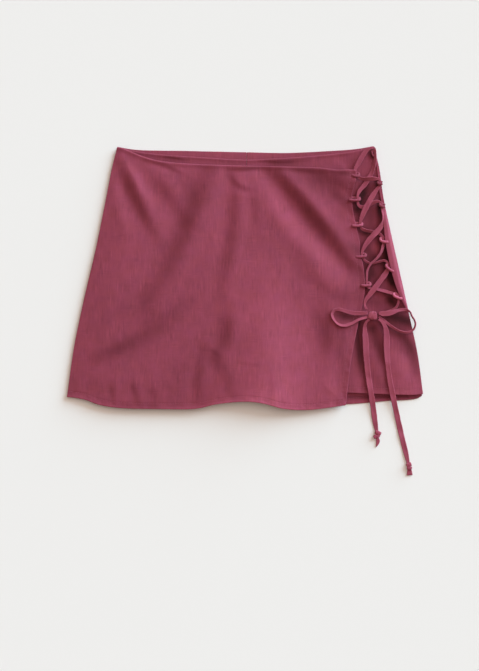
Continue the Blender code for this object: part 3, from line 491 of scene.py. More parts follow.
BOW_LOOP_LEFT = [
    Lace(174.0, -50.0, 11.0, 14, 0.45),
    Lace(166.0, -50.0, 11.6, 10, 0.66),
    Lace(155.0, -50.0, 12.4, 6, 0.72),
    Lace(144.0, -47.6, 12.6, -4, 0.66),
    Lace(134.0, -44.8, 12.6, 6, 0.60),
    Lace(126.8, -46.2, 12.4, 24, 0.60),
    Lace(123.6, -51.0, 12.3, 32, 0.60),
    Lace(125.2, -57.0, 12.2, 36, 0.62),
    Lace(129.6, -63.2, 12.2, 40, 0.62),
    Lace(135.6, -67.0, 12.2, 40, 0.62),
    Lace(144.0, -67.2, 12.2, 30, 0.62),
    Lace(152.5, -64.2, 12.0, 26, 0.58),
    Lace(162.0, -59.0, 11.2, 22, 0.52),
    Lace(174.0, -55.6, 8.6, 10, 0.45),
]

BOW_LOOP_RIGHT = [
    Lace(189.6, -50.0, 11.0, 0, 0.50),
    Lace(197.0, -50.8, 11.2, 6, 0.90),
    Lace(207.0, -49.6, 11.4, 10, 0.88),
    Lace(218.0, -46.0, 11.2, 12, 0.62),
    Lace(228.5, -45.4, 10.6, -20, 0.52),
    Lace(234.4, -48.4, 9.8, -62, 0.46),
    Lace(236.8, -54.0, 9.4, -66, 0.42),
    Lace(240.4, -59.5, 9.0, -66, 0.44),
    Lace(242.0, -66.5, 8.6, -66, 0.42),
    Lace(238.8, -73.6, 8.2, -44, 0.44),
    Lace(231.6, -77.0, 8.0, 20, 0.40),
    Lace(221.5, -76.0, 7.6, 38, 0.42),
    Lace(211.0, -70.8, 7.4, 30, 0.50),
    Lace(201.0, -63.2, 7.2, 0, 0.50),
    Lace(189.6, -54.6, 6.9, -10, 0.42),
]

TAIL_SHORT = [
    Lace(176.4, -58.6, 8.0, 0, 0.42),
    Lace(172.2, -62.8, 7.6, 0, 0.44),
    Lace(170.3, -68.0, 7.2, 0, 0.54),
    Lace(170.5, -76.0, 6.9, 0, 0.84),
    Lace(171.6, -90.0, 6.6, 0, 1.08),
    Lace(172.3, -106.0, 6.4, 0, 1.06),
    Lace(174.2, -129.0, 6.4, 0, 0.98),
    Lace(177.5, -153.0, 6.4, 0, 0.98),
    Lace(180.8, -172.0, 4.6, 0, 0.98),
    Lace(183.2, -188.0, 1.7, 0, 0.98),
    Lace(185.0, -202.0, 0.9, 0, 0.92),
    Lace(186.6, -211.5, 0.9, 0, 0.78),
    Lace(188.0, -219.0, 1.5, 0, 0.52),
]

TAIL_LONG = [
    Lace(189.8, -58.2, 9.8, 0, 0.42),
    Lace(194.0, -61.5, 10.4, 10, 0.55),
    Lace(198.5, -68.5, 10.4, 14, 0.72),
    Lace(200.9, -79.0, 8.0, 12, 1.02),
    Lace(201.5, -100.0, 6.7, 4, 1.12),
    Lace(203.4, -126.0, 6.5, 0, 0.92),
    Lace(207.2, -152.0, 6.5, 0, 0.92),
    Lace(212.2, -176.0, 4.4, 0, 0.96),
    Lace(218.0, -202.0, 1.0, 0, 0.94),
    Lace(224.0, -228.0, 0.9, 0, 0.92),
    Lace(229.5, -250.0, 0.9, 0, 0.84),
    Lace(232.8, -264.5, 1.5, 0, 0.50),
]

TIP_SHORT = [
    Lace(188.4, -226.0, 1.5, 0, 0.46),
    Lace(189.4, -232.0, 1.0, 0, 0.66),
    Lace(187.2, -239.5, 0.9, 0, 0.14),
]

TIP_LONG = [
    Lace(233.8, -270.2, 1.5, 0, 0.66),
    Lace(234.3, -275.5, 1.0, 0, 0.86),
    Lace(234.5, -280.0, 1.0, 0, 1.00),
]

# Wraps of tape that make up a knot: middle, size, turn about the upright, and how much narrower each gets
# towards the waist.
Wrap = namedtuple("Wrap", "x y z width length height turn taper")

BOW_KNOT = [
    Wrap(181.4, -53.4, 8.6, 13.4, 11.4, 6.0, -8.0, 0.24),
    Wrap(181.4, -50.6, 8.9, 11.6, 5.4, 4.8, 8.0, 0.10),
]
END_KNOT_SHORT = [
    Wrap(189.4, -219.8, 2.6, 9.4, 6.0, 4.4, -24.0, 0.0),
    Wrap(187.4, -224.6, 2.5, 9.4, 5.8, 4.4, 20.0, 0.0),
]
END_KNOT_LONG = [
    Wrap(233.2, -265.0, 2.4, 7.8, 6.0, 4.2, 18.0, 0.0),
    Wrap(234.0, -269.6, 2.3, 7.4, 5.8, 4.0, -14.0, 0.0),
]


# ---------------------------------------------------------------------------
# Sizes and colours that a user may change
# ---------------------------------------------------------------------------

def length_setting(name, description, default):
    """A length that a user may change, in metres."""
    return FloatProperty(name=name, description=description, default=default, unit="LENGTH")


def colour_setting(name, description, default):
    """A colour that a user may change."""
    return FloatVectorProperty(
        name=name, description=description, default=default, subtype="COLOR", min=0.0, max=1.0
    )


class SkortSizes(bpy.types.PropertyGroup):
    """Sizes of the skort's cloth, lace and sewing."""

    tape_width: length_setting("Lace width", "Width of the flat lace where it is spread", 0.008)
    tape_thickness: length_setting("Lace thickness", "Thickness of the folded lace", 0.0014)
    loop_cord: length_setting("Loop cord", "Thickness of the button loops", 0.0039)
    hem_depth: length_setting("Hem depth", "From a hem's fold to its row of stitches", 0.0085)
    stitch_length: length_setting("Stitch length", "Length of one stitch", 0.0028)
    stitch_gap: length_setting("Stitch gap", "Space between two stitches", 0.0007)
    thread: length_setting("Thread", "Thickness of the sewing thread", 0.0004)
    weave_pitch: length_setting("Weave pitch", "Distance between two threads of the linen", 0.0006)
    grid_step: length_setting("Mesh step", "Size of the cloth's mesh faces", 0.0020)
    edge_segments: IntProperty(
        name="Edge segments", description="Faces across a rounded cloth edge", default=2, min=1, max=6
    )


class SkortColours(bpy.types.PropertyGroup):
    """Colours of the skort and its stage."""

    overlay: colour_setting("Overlay linen", "Colour of the overlay", (0.268, 0.0465, 0.0800))
    shorts: colour_setting("Shorts linen", "Colour of the shorts", (0.262, 0.0450, 0.0770))
    lace: colour_setting("Lace linen", "Colour of the lace and loops", (0.318, 0.0590, 0.0990))
    thread: colour_setting("Thread", "Colour of the sewing thread", (0.276, 0.051, 0.086))
    floor: colour_setting("Floor", "Colour of the surface under the skort", (0.840, 0.825, 0.812))


# ---------------------------------------------------------------------------
# Lines and heights
# ---------------------------------------------------------------------------

def smooth_line(rows):
    """Fine points on a smooth curve through the rows, with every column carried along."""
    rows = np.array(rows, dtype=float)
    spans = np.sqrt(np.linalg.norm(np.diff(rows[:, :2], axis=0), axis=1) + 1e-6)
    slopes = np.diff(rows, axis=0) / spans[:, None]
    before = spans[:-1, None]
    after = spans[1:, None]
    inner = (slopes[:-1] * after + slopes[1:] * before) / (before + after)
    tangents = np.vstack([slopes[:1], inner, slopes[-1:]])
    steps = np.linspace(0.0, 1.0, SPAN_SAMPLES, endpoint=False)[:, None]
    pieces = []
    for index, span in enumerate(spans):
        start, end = rows[index], rows[index + 1]
        leave, arrive = tangents[index] * span, tangents[index + 1] * span
        pieces.append(
            start * (2 * steps ** 3 - 3 * steps ** 2 + 1)
            + leave * (steps ** 3 - 2 * steps ** 2 + steps)
            + end * (3 * steps ** 2 - 2 * steps ** 3)
            + arrive * (steps ** 3 - steps ** 2)
        )
    return np.vstack(pieces + [rows[-1:]])


def travelled_along(line):
    """Distance from a line's start to each of its points."""
    return np.concatenate([[0.0], np.cumsum(np.linalg.norm(np.diff(line, axis=0), axis=1))])


def spaced(line, shares, width=2):
    """The line's columns at the given shares of the distance along it, or at a number of even steps."""
    if np.isscalar(shares):
        shares = np.linspace(0.0, 1.0, shares + 1)
    travelled = travelled_along(line[:, :width])
    wanted = shares * travelled[-1]
    return np.column_stack([np.interp(wanted, travelled, column) for column in line.T])


def graded(length, step, finer=0.7):
    """Shares of a length in steps that grow finer towards both ends."""
    even = np.linspace(0.0, 1.0, max(4, round(length / step)) + 1)
    return even - finer * np.sin(2 * math.pi * even) / (2 * math.pi)


def unit(directions):
    """Directions at length 1."""
    return directions / np.linalg.norm(directions, axis=-1, keepdims=True)


def between(line, axis, low, high):
    """The stretch of a line whose x (axis 0) or y (axis 1) lies between two values, cut at both."""
    rising = line[np.argsort(line[:, axis])]
    inside = rising[(rising[:, axis] > low) & (rising[:, axis] < high)]
    ends = [[np.interp(value, rising[:, axis], column) for column in rising.T] for value in (low, high)]
    return np.vstack([ends[0], inside, ends[1]])


def patch(top, bottom, left, right, across, down):
    """Rows of points that fill the space between four edges (a Coons patch)."""
    u, v = across[None, :, None], down[:, None, None]
    sideways = (1 - u) * left[:, None, :] + u * right[:, None, :]
    upright = (1 - v) * top[None, :, :] + v * bottom[None, :, :]
    corners = (
        (1 - u) * (1 - v) * top[0] + u * (1 - v) * top[-1]
        + (1 - u) * v * bottom[0] + u * v * bottom[-1]
    )
    return sideways + upright - corners


def ease(share):
    """0 to 1 with level ends."""
    share = np.clip(share, 0.0, 1.0)
    return share * share * (3 - 2 * share)


def from_line(points, fold):
    """Distance, side and end fade of each point against a fold's bent line."""
    start, middle, end = (np.array(place, dtype=float) for place in fold[:3])
    t = np.linspace(0.0, 1.0, FOLD_SAMPLES)[:, None]
    line = start * (1 - t) ** 2 + (4 * middle - start - end) * t * (1 - t) + end * t ** 2
    offsets = points[:, None, :2] - line[None, :, :]
    apart = np.linalg.norm(offsets, axis=2)
    nearest = np.argmin(apart, axis=1)
    every = np.arange(len(points))
    direction, offset = unit(np.gradient(line, axis=0))[nearest], offsets[every, nearest]
    side = direction[:, 0] * offset[:, 1] - direction[:, 1] * offset[:, 0]
    share = t[nearest, 0]
    rising = fold.start_share + (1 - fold.start_share) * ease(share / FOLD_FADE)
    falling = fold.end_share + (1 - fold.end_share) * ease((1 - share) / FOLD_FADE)
    return apart[every, nearest], side, np.minimum(rising, falling)


def folds_lift(points, folds):
    """Height and painted light and shade that ridges, troughs and creases add at each point."""
    lift, tone = np.zeros(len(points)), np.ones(len(points))
    for fold in folds.values():
        apart, side, fade = from_line(points, fold)
        shape = np.exp(-(apart / fold.half_width) ** 2) * fade
        if isinstance(fold, Fold):
            lift += fold.height * shape
        else:
            lift += fold.tilt * side * shape
            tone += fold.tone * shape
    return lift, np.maximum(tone, DARKEST_PAINTED_SHADE)


NOISE_CELLS = 64


def soft_noise(x, y, size_x, size_y, seed):
    """Smooth noise between -1 and 1 with features of the given sizes."""
    values = np.random.RandomState(seed).uniform(-1.0, 1.0, (NOISE_CELLS, NOISE_CELLS))
    u, v = x / size_x, y / size_y
    column, row = np.floor(u).astype(int), np.floor(v).astype(int)
    s, t = ease(u - column), ease(v - row)

    def at(i, j):
        return values[(column + i) % NOISE_CELLS, (row + j) % NOISE_CELLS]

    return (at(0, 0) * (1 - s) + at(1, 0) * s) * (1 - t) + (at(0, 1) * (1 - s) + at(1, 1) * s) * t


def travelled_down(grid):
    """Each grid point's distance down its column, along the cloth."""
    steps = np.linalg.norm(np.diff(grid, axis=0), axis=2)
    return np.vstack([np.zeros((1, grid.shape[1])), np.cumsum(steps, axis=0)])


def side_distance(grid, side):
    """Each grid point's distance along the cloth to one of its sides."""
    if side in ("waist", "hem"):
        travelled = travelled_down(grid)
        return travelled if side == "waist" else travelled[-1:] - travelled
    travelled = travelled_down(grid.transpose(1, 0, 2)).T
    return travelled if side == "left" else travelled[:, -1:] - travelled


def rim(distance, height, reach):
    """Lift of a folded edge: steep at the edge itself, then settling back into the cloth."""
    return height * (1 - np.exp(-distance / 0.9)) * np.exp(-(distance / reach) ** 2)


def hem_relief(grid, side, depth, seed, pucker=0.32):
    """Lift of a sewn hem: its folded rim, the groove under its stitches and small puckers between them."""
    distance = side_distance(grid, side)
    along = grid[:, :, 0] if side in ("waist", "hem") else grid[:, :, 1]
    groove = -0.10 * np.exp(-((distance - depth) / 1.3) ** 2)
    inside = np.exp(-((distance - 0.55 * depth) / (0.6 * depth)) ** 2)
    ripples = soft_noise(along, distance, 5.5, 9.0, seed)
    ripples += 0.6 * soft_noise(along, distance, 2.6, 6.0, seed + 1)
    beyond = np.exp(-((distance - 1.5 * depth) / depth) ** 2)
    pulls = soft_noise(along, distance, 6.5, 30.0, seed + 2)
    return rim(distance, 0.5, 2.6) + groove + pucker * (inside * ripples + 0.6 * beyond * pulls)


def line_inside(grid, side, inset):
    """The line on the cloth that runs at a distance inside one of its sides."""
    if side in ("left", "right"):
        grid = grid.transpose(1, 0, 2)
    if side in ("hem", "right"):
        grid = grid[::-1]
    travelled = travelled_down(grid)
    points = [
        [np.interp(inset, travelled[:, column], grid[:, column, axis]) for axis in range(3)]
        for column in range(grid.shape[1])
    ]
    return np.array(points)


# ---------------------------------------------------------------------------
# Node trees
# ---------------------------------------------------------------------------

class Tree:
    """Adds and joins the nodes of one node tree."""

    def __init__(self, tree):
        self.tree = tree

    def add(self, kind, inputs=(), **settings):
        """A node with its settings, and with each input set to a value or joined to another node's socket."""
        node = self.tree.nodes.new(kind)
        for name, value in settings.items():
            setattr(node, name, value)
        for key, value in dict(inputs).items():
            if isinstance(value, bpy.types.NodeSocket):
                self.tree.links.new(value, node.inputs[key])
            else:
                node.inputs[key].default_value = value
        return node

    def math(self, operation, first, second=0.0, third=0.0):
        """A Math node's result."""
        node = self.add("ShaderNodeMath", {0: first, 1: second, 2: third}, operation=operation)
        return node.outputs[0]

    def noise(self, place, scale_x, scale_y, detail, offset=0.0):
        """Noise whose features are stretched over the cloth's own directions."""
        stretched = self.add(
            "ShaderNodeVectorMath", {0: place, 1: (scale_x, scale_y, 0.0), 2: (offset, offset, offset)},
            operation="MULTIPLY_ADD",
        )
        noise = self.add(
            "ShaderNodeTexNoise", {"Vector": stretched.outputs[0], "Scale": 1.0, "Detail": detail}
        )
        return noise.outputs["Fac"]

    def swing(self, place, scale_x, scale_y, detail, offset=0.0, level=0.5):
        """How far the noise is above or below a level."""
        return self.math("SUBTRACT", self.noise(place, scale_x, scale_y, detail, offset), level)

    def sum(self, total, parts):
        """A total with each of the parts added to it, in the given amounts."""
        for part, amount in parts:
            total = self.math("MULTIPLY_ADD", part, amount, total)
        return total


def new_group(name, inputs, outputs):
    """A shader node group with named sockets."""
    group = bpy.data.node_groups.new(name, "ShaderNodeTree")
    for socket, (kind, value) in inputs.items():
        made = group.interface.new_socket(socket, in_out="INPUT", socket_type=kind)
        made.default_value = value
    for socket, kind in outputs.items():
        group.interface.new_socket(socket, in_out="OUTPUT", socket_type=kind)
    tree = Tree(group)
    return tree, tree.add("NodeGroupInput"), tree.add("NodeGroupOutput")


def linen_group():
    """Plain-woven linen: slub streaks, woven height, uneven dye, painted light and shade, stitched-hem
    puckers.
    """
    name = "Linen weave"
    if name in bpy.data.node_groups:
        return bpy.data.node_groups[name]
    tree, given, result = new_group(
        name,
        {
            "Colour": ("NodeSocketColor", (0.3, 0.06, 0.09, 1.0)),
            "Pitch": ("NodeSocketFloat", 0.0006),
            "Slub": ("NodeSocketFloat", 0.55),
            "Weft slub": ("NodeSocketFloat", 1.6),
            "Dye": ("NodeSocketFloat", 0.28),
            "Hem depth": ("NodeSocketFloat", 0.0085),
            "Pucker": ("NodeSocketFloat", 0.0),
        },
        {"Colour": "NodeSocketColor", "Roughness": "NodeSocketFloat", "Height": "NodeSocketFloat"},
    )
    place = tree.add("ShaderNodeAttribute", attribute_name="cloth_place").outputs["Vector"]
    axes = tree.add("ShaderNodeSeparateXYZ", {0: place}).outputs
    bend = tree.math("MULTIPLY", tree.swing(place, 260.0, 90.0, 1.0), given.outputs["Pitch"])
    turn = tree.math("DIVIDE", math.pi, given.outputs["Pitch"])
    warp, weft = (
        tree.math("SINE", tree.math("MULTIPLY", tree.math("ADD", axis, bend), turn)) for axis in axes[:2]
    )
    over = tree.math("GREATER_THAN", tree.math("MULTIPLY", warp, weft), 0.0)
    woven = tree.add(
        "ShaderNodeMix", {"Factor": over, 2: tree.math("ABSOLUTE", warp), 3: tree.math("ABSOLUTE", weft)}
    ).outputs[0]

    patches = tree.add(
        "ShaderNodeMapRange",
        {
            "Value": tree.noise(place, 70.0, 34.0, 1.0, 9.0),
            "From Min": 0.38, "From Max": 0.68, "To Min": 0.15, "To Max": 1.3,
        },
        clamp=True,
    ).outputs[0]
    slubs = tree.math("MULTIPLY", tree.swing(place, 430.0, 44.0, 2.0), patches)
    light_slubs = tree.math("MAXIMUM", tree.swing(place, 560.0, 38.0, 1.0, 21.0, 0.62), 0.0)
    slubs = tree.math("MULTIPLY_ADD", light_slubs, 1.9, slubs)
    threads = tree.swing(place, 1500.0, 90.0, 1.0, 7.0)
    weft_patches = tree.math("MAXIMUM", tree.swing(place, 45.0, 60.0, 1.0, 13.0, 0.45), 0.0)
    weft_slubs = tree.math("MULTIPLY", tree.swing(place, 48.0, 520.0, 2.0, 3.0), weft_patches)
    stains = tree.math(
        "ADD", tree.noise(place, 18.0, 14.0, 2.0, 5.0), tree.noise(place, 75.0, 60.0, 2.0, 17.0)
    )
    shade = tree.sum(1.0, (
        (slubs, given.outputs["Slub"]),
        (threads, 0.12),
        (weft_slubs, given.outputs["Weft slub"]),
        (tree.math("SUBTRACT", stains, 1.0), given.outputs["Dye"]),
        (tree.math("SUBTRACT", woven, 0.6), 0.10),
    ))
    tinted = tree.add(
        "ShaderNodeVectorMath", {0: given.outputs["Colour"], "Scale": shade}, operation="SCALE"
    )
    # Painted light and shade from the mesh: shaded colour grows redder and lit colour cooler, as under the
    # lamps, with a random shift in its blue.
    tone = tree.add("ShaderNodeAttribute", attribute_name="cloth_painted_shading").outputs["Fac"]
    hue = tree.math("MULTIPLY_ADD", tree.noise(place, 60.0, 60.0, 2.0, 25.0), 0.30, 0.85)
    blue = tree.math("MULTIPLY", tree.math("POWER", tone, 1.30), hue)
    redder = tree.add("ShaderNodeCombineXYZ", {0: tone, 1: tree.math("POWER", tone, 1.35), 2: blue})
    tinted = tree.add(
        "ShaderNodeVectorMath", {0: tinted.outputs[0], 1: redder.outputs[0]}, operation="MULTIPLY"
    )

    inside = tree.math("SUBTRACT", axes[2], given.outputs["Hem depth"])
    groove = tree.math("EXPONENT", tree.math("MULTIPLY", tree.math("MULTIPLY", inside, inside), -2.2e6))
    hem = tree.add(
        "ShaderNodeMapRange", {"Value": axes[2], "From Min": 0.015, "From Max": 0.003}, clamp=True
    ).outputs[0]
    ripple = tree.math("MULTIPLY", tree.noise(place, 210.0, 210.0, 1.0, 11.0), hem)
    pucker = tree.math("SUBTRACT", tree.math("MULTIPLY", ripple, 0.6), tree.math("MULTIPLY", groove, 0.35))
    height = tree.sum(tree.math("MULTIPLY", woven, 0.07), (
        (slubs, 0.12),
        (threads, 0.10),
        (weft_slubs, 0.9),
        (pucker, given.outputs["Pucker"]),
    ))
    rough = tree.math("MULTIPLY_ADD", slubs, -0.12, 0.90)
    links = tree.tree.links
    links.new(tinted.outputs[0], result.inputs["Colour"])
    links.new(rough, result.inputs["Roughness"])
    links.new(height, result.inputs["Height"])
    return tree.tree


def new_material(name, colour, settings):
    """A material with constants set on its shader, the tree that its nodes go in, and the shader."""
    material = bpy.data.materials.new(name)
    material.use_nodes = True
    material.diffuse_color = (*colour, 1.0)
    shader = material.node_tree.nodes["Principled BSDF"]
    for socket, value in settings.items():
        shader.inputs[socket].default_value = value
    return material, Tree(material.node_tree), shader


Linen = namedtuple("Linen", "pucker slub")
LINENS = {                  # the pucker beside its stitches, and how strong its slubs show
    "overlay": Linen(0.5, 0.55),
    "shorts": Linen(0.5, 0.55),
    "lace": Linen(0.0, 0.35),
}
LINEN_SHADER = {
    "Specular IOR Level": 0.25,
    "Sheen Weight": 0.12,
    "Sheen Roughness": 0.5,
    "Sheen Tint": (1.0, 0.75, 0.8, 1.0),
}


def linen(context, word):
    """The matt linen of the overlay, the shorts or the lace."""
    name = f"{word.capitalize()} linen"
    if name in bpy.data.materials:
        return bpy.data.materials[name]
    sizes, colour = context.scene.skort_sizes, getattr(context.scene.skort_colours, word)
    material, tree, shader = new_material(name, colour, LINEN_SHADER)
    weave = tree.add("ShaderNodeGroup", node_tree=linen_group())
    weave.inputs["Colour"].default_value = (*colour, 1.0)
    weave.inputs["Pitch"].default_value = sizes.weave_pitch
    weave.inputs["Slub"].default_value = LINENS[word].slub
    weave.inputs["Hem depth"].default_value = sizes.hem_depth
    weave.inputs["Pucker"].default_value = LINENS[word].pucker
    bump = tree.add(
        "ShaderNodeBump", {"Height": weave.outputs["Height"], "Strength": 0.5, "Distance": 0.0009}
    )
    links = material.node_tree.links
    links.new(weave.outputs["Colour"], shader.inputs["Base Color"])
    links.new(weave.outputs["Roughness"], shader.inputs["Roughness"])
    links.new(bump.outputs["Normal"], shader.inputs["Normal"])
    return material


def thread_material(colour):
    """Twisted sewing thread."""
    name = "Sewing thread"
    if name in bpy.data.materials:
        return bpy.data.materials[name]
    material, tree, shader = new_material(name, colour, {"Roughness": 0.6})
    place = tree.add("ShaderNodeTexCoord").outputs["Object"]
    fibres = tree.noise(place, 2400.0, 2400.0, 2.0)
    shade = tree.math("MULTIPLY_ADD", fibres, 0.5, 0.75)
    tinted = tree.add("ShaderNodeVectorMath", {0: (*colour,), "Scale": shade}, operation="SCALE")
    bump = tree.add("ShaderNodeBump", {"Height": fibres, "Strength": 0.4, "Distance": 0.0002})
    links = material.node_tree.links
    links.new(tinted.outputs[0], shader.inputs["Base Color"])
    links.new(bump.outputs["Normal"], shader.inputs["Normal"])
    return material


# ---------------------------------------------------------------------------
# Making pieces. Lengths are in millimetres where nothing else is said.
# ---------------------------------------------------------------------------

def add_piece(name, mesh, material, nodes=()):
    """Put a mesh in the scene as a piece that rides on the skort and stands for its solids."""
    obj = bpy.data.objects.new(name, mesh)
    bpy.context.scene.collection.objects.link(obj)
    mesh.materials.append(material)
    mesh.shade_smooth()
    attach(obj, "root")
    if nodes:
        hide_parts(*nodes)
    return obj


def mesh_from(name, verts, faces):
    """A mesh from vertices and faces."""
    mesh = bpy.data.meshes.new(name)
    mesh.from_pydata([tuple(vert) for vert in np.asarray(verts) * MM], [], faces)
    mesh.update()
    return mesh


def linen_mesh(name, verts, faces, places, tone=1.0):
    """A mesh with each vertex's place on the cloth, for the weave, and its painted light and shade."""
    mesh = mesh_from(name, verts, faces)
    place_data = mesh.attributes.new("cloth_place", "FLOAT_VECTOR", "POINT").data
    place_data.foreach_set("vector", (places * MM).astype(np.float32).ravel())
    # The painted light and shade that the cloth's colour is multiplied by.
    tone_data = mesh.attributes.new("cloth_painted_shading", "FLOAT", "POINT").data
    tone_data.foreach_set("value", np.broadcast_to(np.ravel(tone), len(verts)).astype(np.float32))
    return mesh


ROUNDED_SHARE = 0.35        # share of the cloth's thickness that the rounding takes at each corner
ROUNDED_FROM = 50.0         # degrees between two faces from which their edge is rounded


def cloth_piece(name, grid, places, material, node, sizes, tone):
    """A thin shell whose upper side runs through the grid's points."""
    rows, columns = grid.shape[:2]
    index = np.arange(rows * columns).reshape(rows, columns)
    quads = np.stack([index[:-1, :-1], index[1:, :-1], index[1:, 1:], index[:-1, 1:]], axis=-1)
    mesh = linen_mesh(
        name, grid.reshape(-1, 3), quads.reshape(-1, 4).tolist(), places.reshape(-1, 3), tone
    )
    obj = add_piece(name, mesh, material, (node,))
    wall = obj.modifiers.new("cloth", "SOLIDIFY")
    wall.thickness = CLOTH * MM
    wall.offset = -1.0
    rounding = obj.modifiers.new("rounded edge", "BEVEL")
    rounding.width = ROUNDED_SHARE * CLOTH * MM
    rounding.segments = sizes.edge_segments
    rounding.limit_method = "ANGLE"
    rounding.angle_limit = math.radians(ROUNDED_FROM)
    return obj


def ring_angles(sides):
    """Angles of a ring's corners."""
    return np.linspace(0.0, 2 * math.pi, sides, endpoint=False)


def squared(values, power):
    """Sines or cosines of a ring's angles, drawn out from a circle towards a square by a power below 1."""
    return np.sign(values) * np.abs(values) ** power


def ring_axes(points, normal=(0.0, 0.0, 1.0)):
    """Two directions across a line at each of its points, the first of them square to the normal."""
    along = unit(np.gradient(points[:, :3], axis=0))
    side = unit(np.cross(along, normal))
    return side, np.cross(side, along)


def ring_faces(rings, sides, first=0, flip=False):
    """Faces between rings of vertices, with a cap at each end. Flip turns their outer sides round."""
    faces = []
    for row in range(rings - 1):
        for side in range(sides):
            here = first + row * sides + side
            there = first + row * sides + (side + 1) % sides
            face = (here, there, there + sides, here + sides)
            faces.append(face[:1] + face[:0:-1] if flip else face)
    last = first + (rings - 1) * sides
    caps = tuple(range(first, first + sides))[::-1], tuple(range(last, last + sides))
    return faces + [cap[::-1] if flip else cap for cap in caps]


def tube(points, sides, shape):
    """Vertices, faces and places of a closed tube. shape gives a ring's corners and its places across."""
    verts, places = [], []
    for index, travelled in enumerate(travelled_along(points[:, :3])):
        ring, across = shape(index)
        verts.extend(points[index, :3] + corner for corner in ring)
        places.extend((step, travelled, FAR_FROM_HEM) for step in across)
    return np.array(verts), ring_faces(len(points), sides), np.array(places)


TAPE_SIDES = 20
TAPE_STEP = 1.3             # from one ring of a tape to the next
TAPE_BACK_SHIFT = 12.0      # how far the weave on a tape's back is shifted from the weave on its front


def tape_piece(name, route, material, sizes, nodes, seed):
    """A folded linen tape along a lace route, with its centreline in metres."""
    line = smooth_line(route)
    points = spaced(line, max(6, round(travelled_along(line[:, :3])[-1] / TAPE_STEP)), 3)
    side, up = ring_axes(points)
    width, thick = sizes.tape_width / MM, sizes.tape_thickness / MM
    angles = ring_angles(TAPE_SIDES)
    flat_x, flat_y = squared(np.cos(angles), 0.7), squared(np.sin(angles), 0.55)
    travelled = np.arange(len(points)) * TAPE_STEP
    wave = soft_noise(travelled, travelled * 0 + seed, 9.0, 1.0, 11 + seed)
    edge_wave = soft_noise(travelled, travelled * 0 + seed, 5.0, 1.0, 31 + seed)

    def shape(index):
        lean = math.radians(points[index, 3] + 8.0 * wave[index])
        share = points[index, 4]
        half = width / 2 * share * (1.0 + 0.05 * edge_wave[index])
        rise = thick / 2 * (1.0 + 0.5 * (1.0 - share))
        cup = 0.45 * share * (flat_x ** 2 - 0.4)
        across, high = half * flat_x, rise * flat_y * (0.82 + 0.18 * flat_x ** 2) + cup
        turned_side = side[index] * math.cos(lean) + up[index] * math.sin(lean)
        turned_up = up[index] * math.cos(lean) - side[index] * math.sin(lean)
        corners = across[:, None] * turned_side + high[:, None] * turned_up
        return corners, across + np.where(np.sin(angles) < 0, TAPE_BACK_SHIFT, 0.0)

    verts, faces, places = tube(points, TAPE_SIDES, shape)
    # Painted highlight along both edges of the tape, with a little random mottling along it.
    edge = np.abs(flat_x) ** 6
    tone = 0.95 + 0.04 * wave[:, None] + (0.15 + 0.12 * edge_wave[:, None]) * edge
    mesh = linen_mesh(name, verts, faces, places, tone)
    return add_piece(name, mesh, material, nodes), points[:, :3] * MM


CORD_SIDES = 14
STANDING_HEIGHT = 1.0       # a cord that climbs by more than this stands upright


def cord_piece(name, points, radius, tone, material, node):
    """A round fabric cord through the points."""
    stands = np.ptp(points[:, 2]) > STANDING_HEIGHT
    side, up = ring_axes(points, (0.0, 1.0, 0.0) if stands else (0.0, 0.0, 1.0))
    angles = ring_angles(CORD_SIDES)

    def shape(index):
        corners = np.cos(angles)[:, None] * side[index] + np.sin(angles)[:, None] * up[index]
        return radius * corners, radius * angles

    mesh = linen_mesh(name, *tube(points, CORD_SIDES, shape), tone)
    return add_piece(name, mesh, material, (node,))


WRAP_RINGS = 26
WRAP_SIDES = 32
WRAP_SHIFT = 40.0           # how far the weave of one wrap is shifted from the one before


def wrap_mesh(wraps, seed):
    """Vertices, faces and places of wraps of tape, each a creased barrel that lies across the knot."""
    verts, faces, places = [], [], []
    angles = ring_angles(WRAP_SIDES)
    for number, wrap in enumerate(wraps):
        turn = math.radians(wrap.turn)
        faces += ring_faces(WRAP_RINGS, WRAP_SIDES, len(verts), flip=True)
        for share in np.linspace(-1.0, 1.0, WRAP_RINGS):
            fullness = (1 - abs(share) ** 3) ** 0.5
            crease = 0.10 * np.cos(share * 4.2 + 2.0 * angles + seed) * (1 - share ** 2)
            crease += 0.03 * np.sin(share * 7.0 - 3.0 * angles)
            radius = (0.60 + 0.40 * fullness) * (1.0 + crease)
            y = squared(np.cos(angles), 0.85) * wrap.length / 2 * radius
            z = squared(np.sin(angles), 0.8) * wrap.height / 2 * radius
            x = share * wrap.width / 2 * (0.94 + 0.06 * fullness)
            x = x * (1.0 - wrap.taper * 2 * y / wrap.length)
            verts.extend(np.column_stack([
                wrap.x + x * math.cos(turn) - y * math.sin(turn),
                wrap.y + x * math.sin(turn) + y * math.cos(turn),
                wrap.z + z,
            ]))
            around = angles * wrap.length / 2 + number * WRAP_SHIFT
            places.extend((share * wrap.width / 2, step, FAR_FROM_HEM) for step in around)
    return np.array(verts), faces, np.array(places)


STITCH_SIDES = 6
STITCH_PROFILE = [          # share of the length, of the radius and of the rise
    (0.0, 0.25, -0.6),
    (0.15, 0.8, 0.1),
    (0.5, 1.0, 0.55),
    (0.85, 0.8, 0.1),
    (1.0, 0.25, -0.6),
]
STITCH_START = 0.15         # share of a stitch and its gap that is left free at a row's start


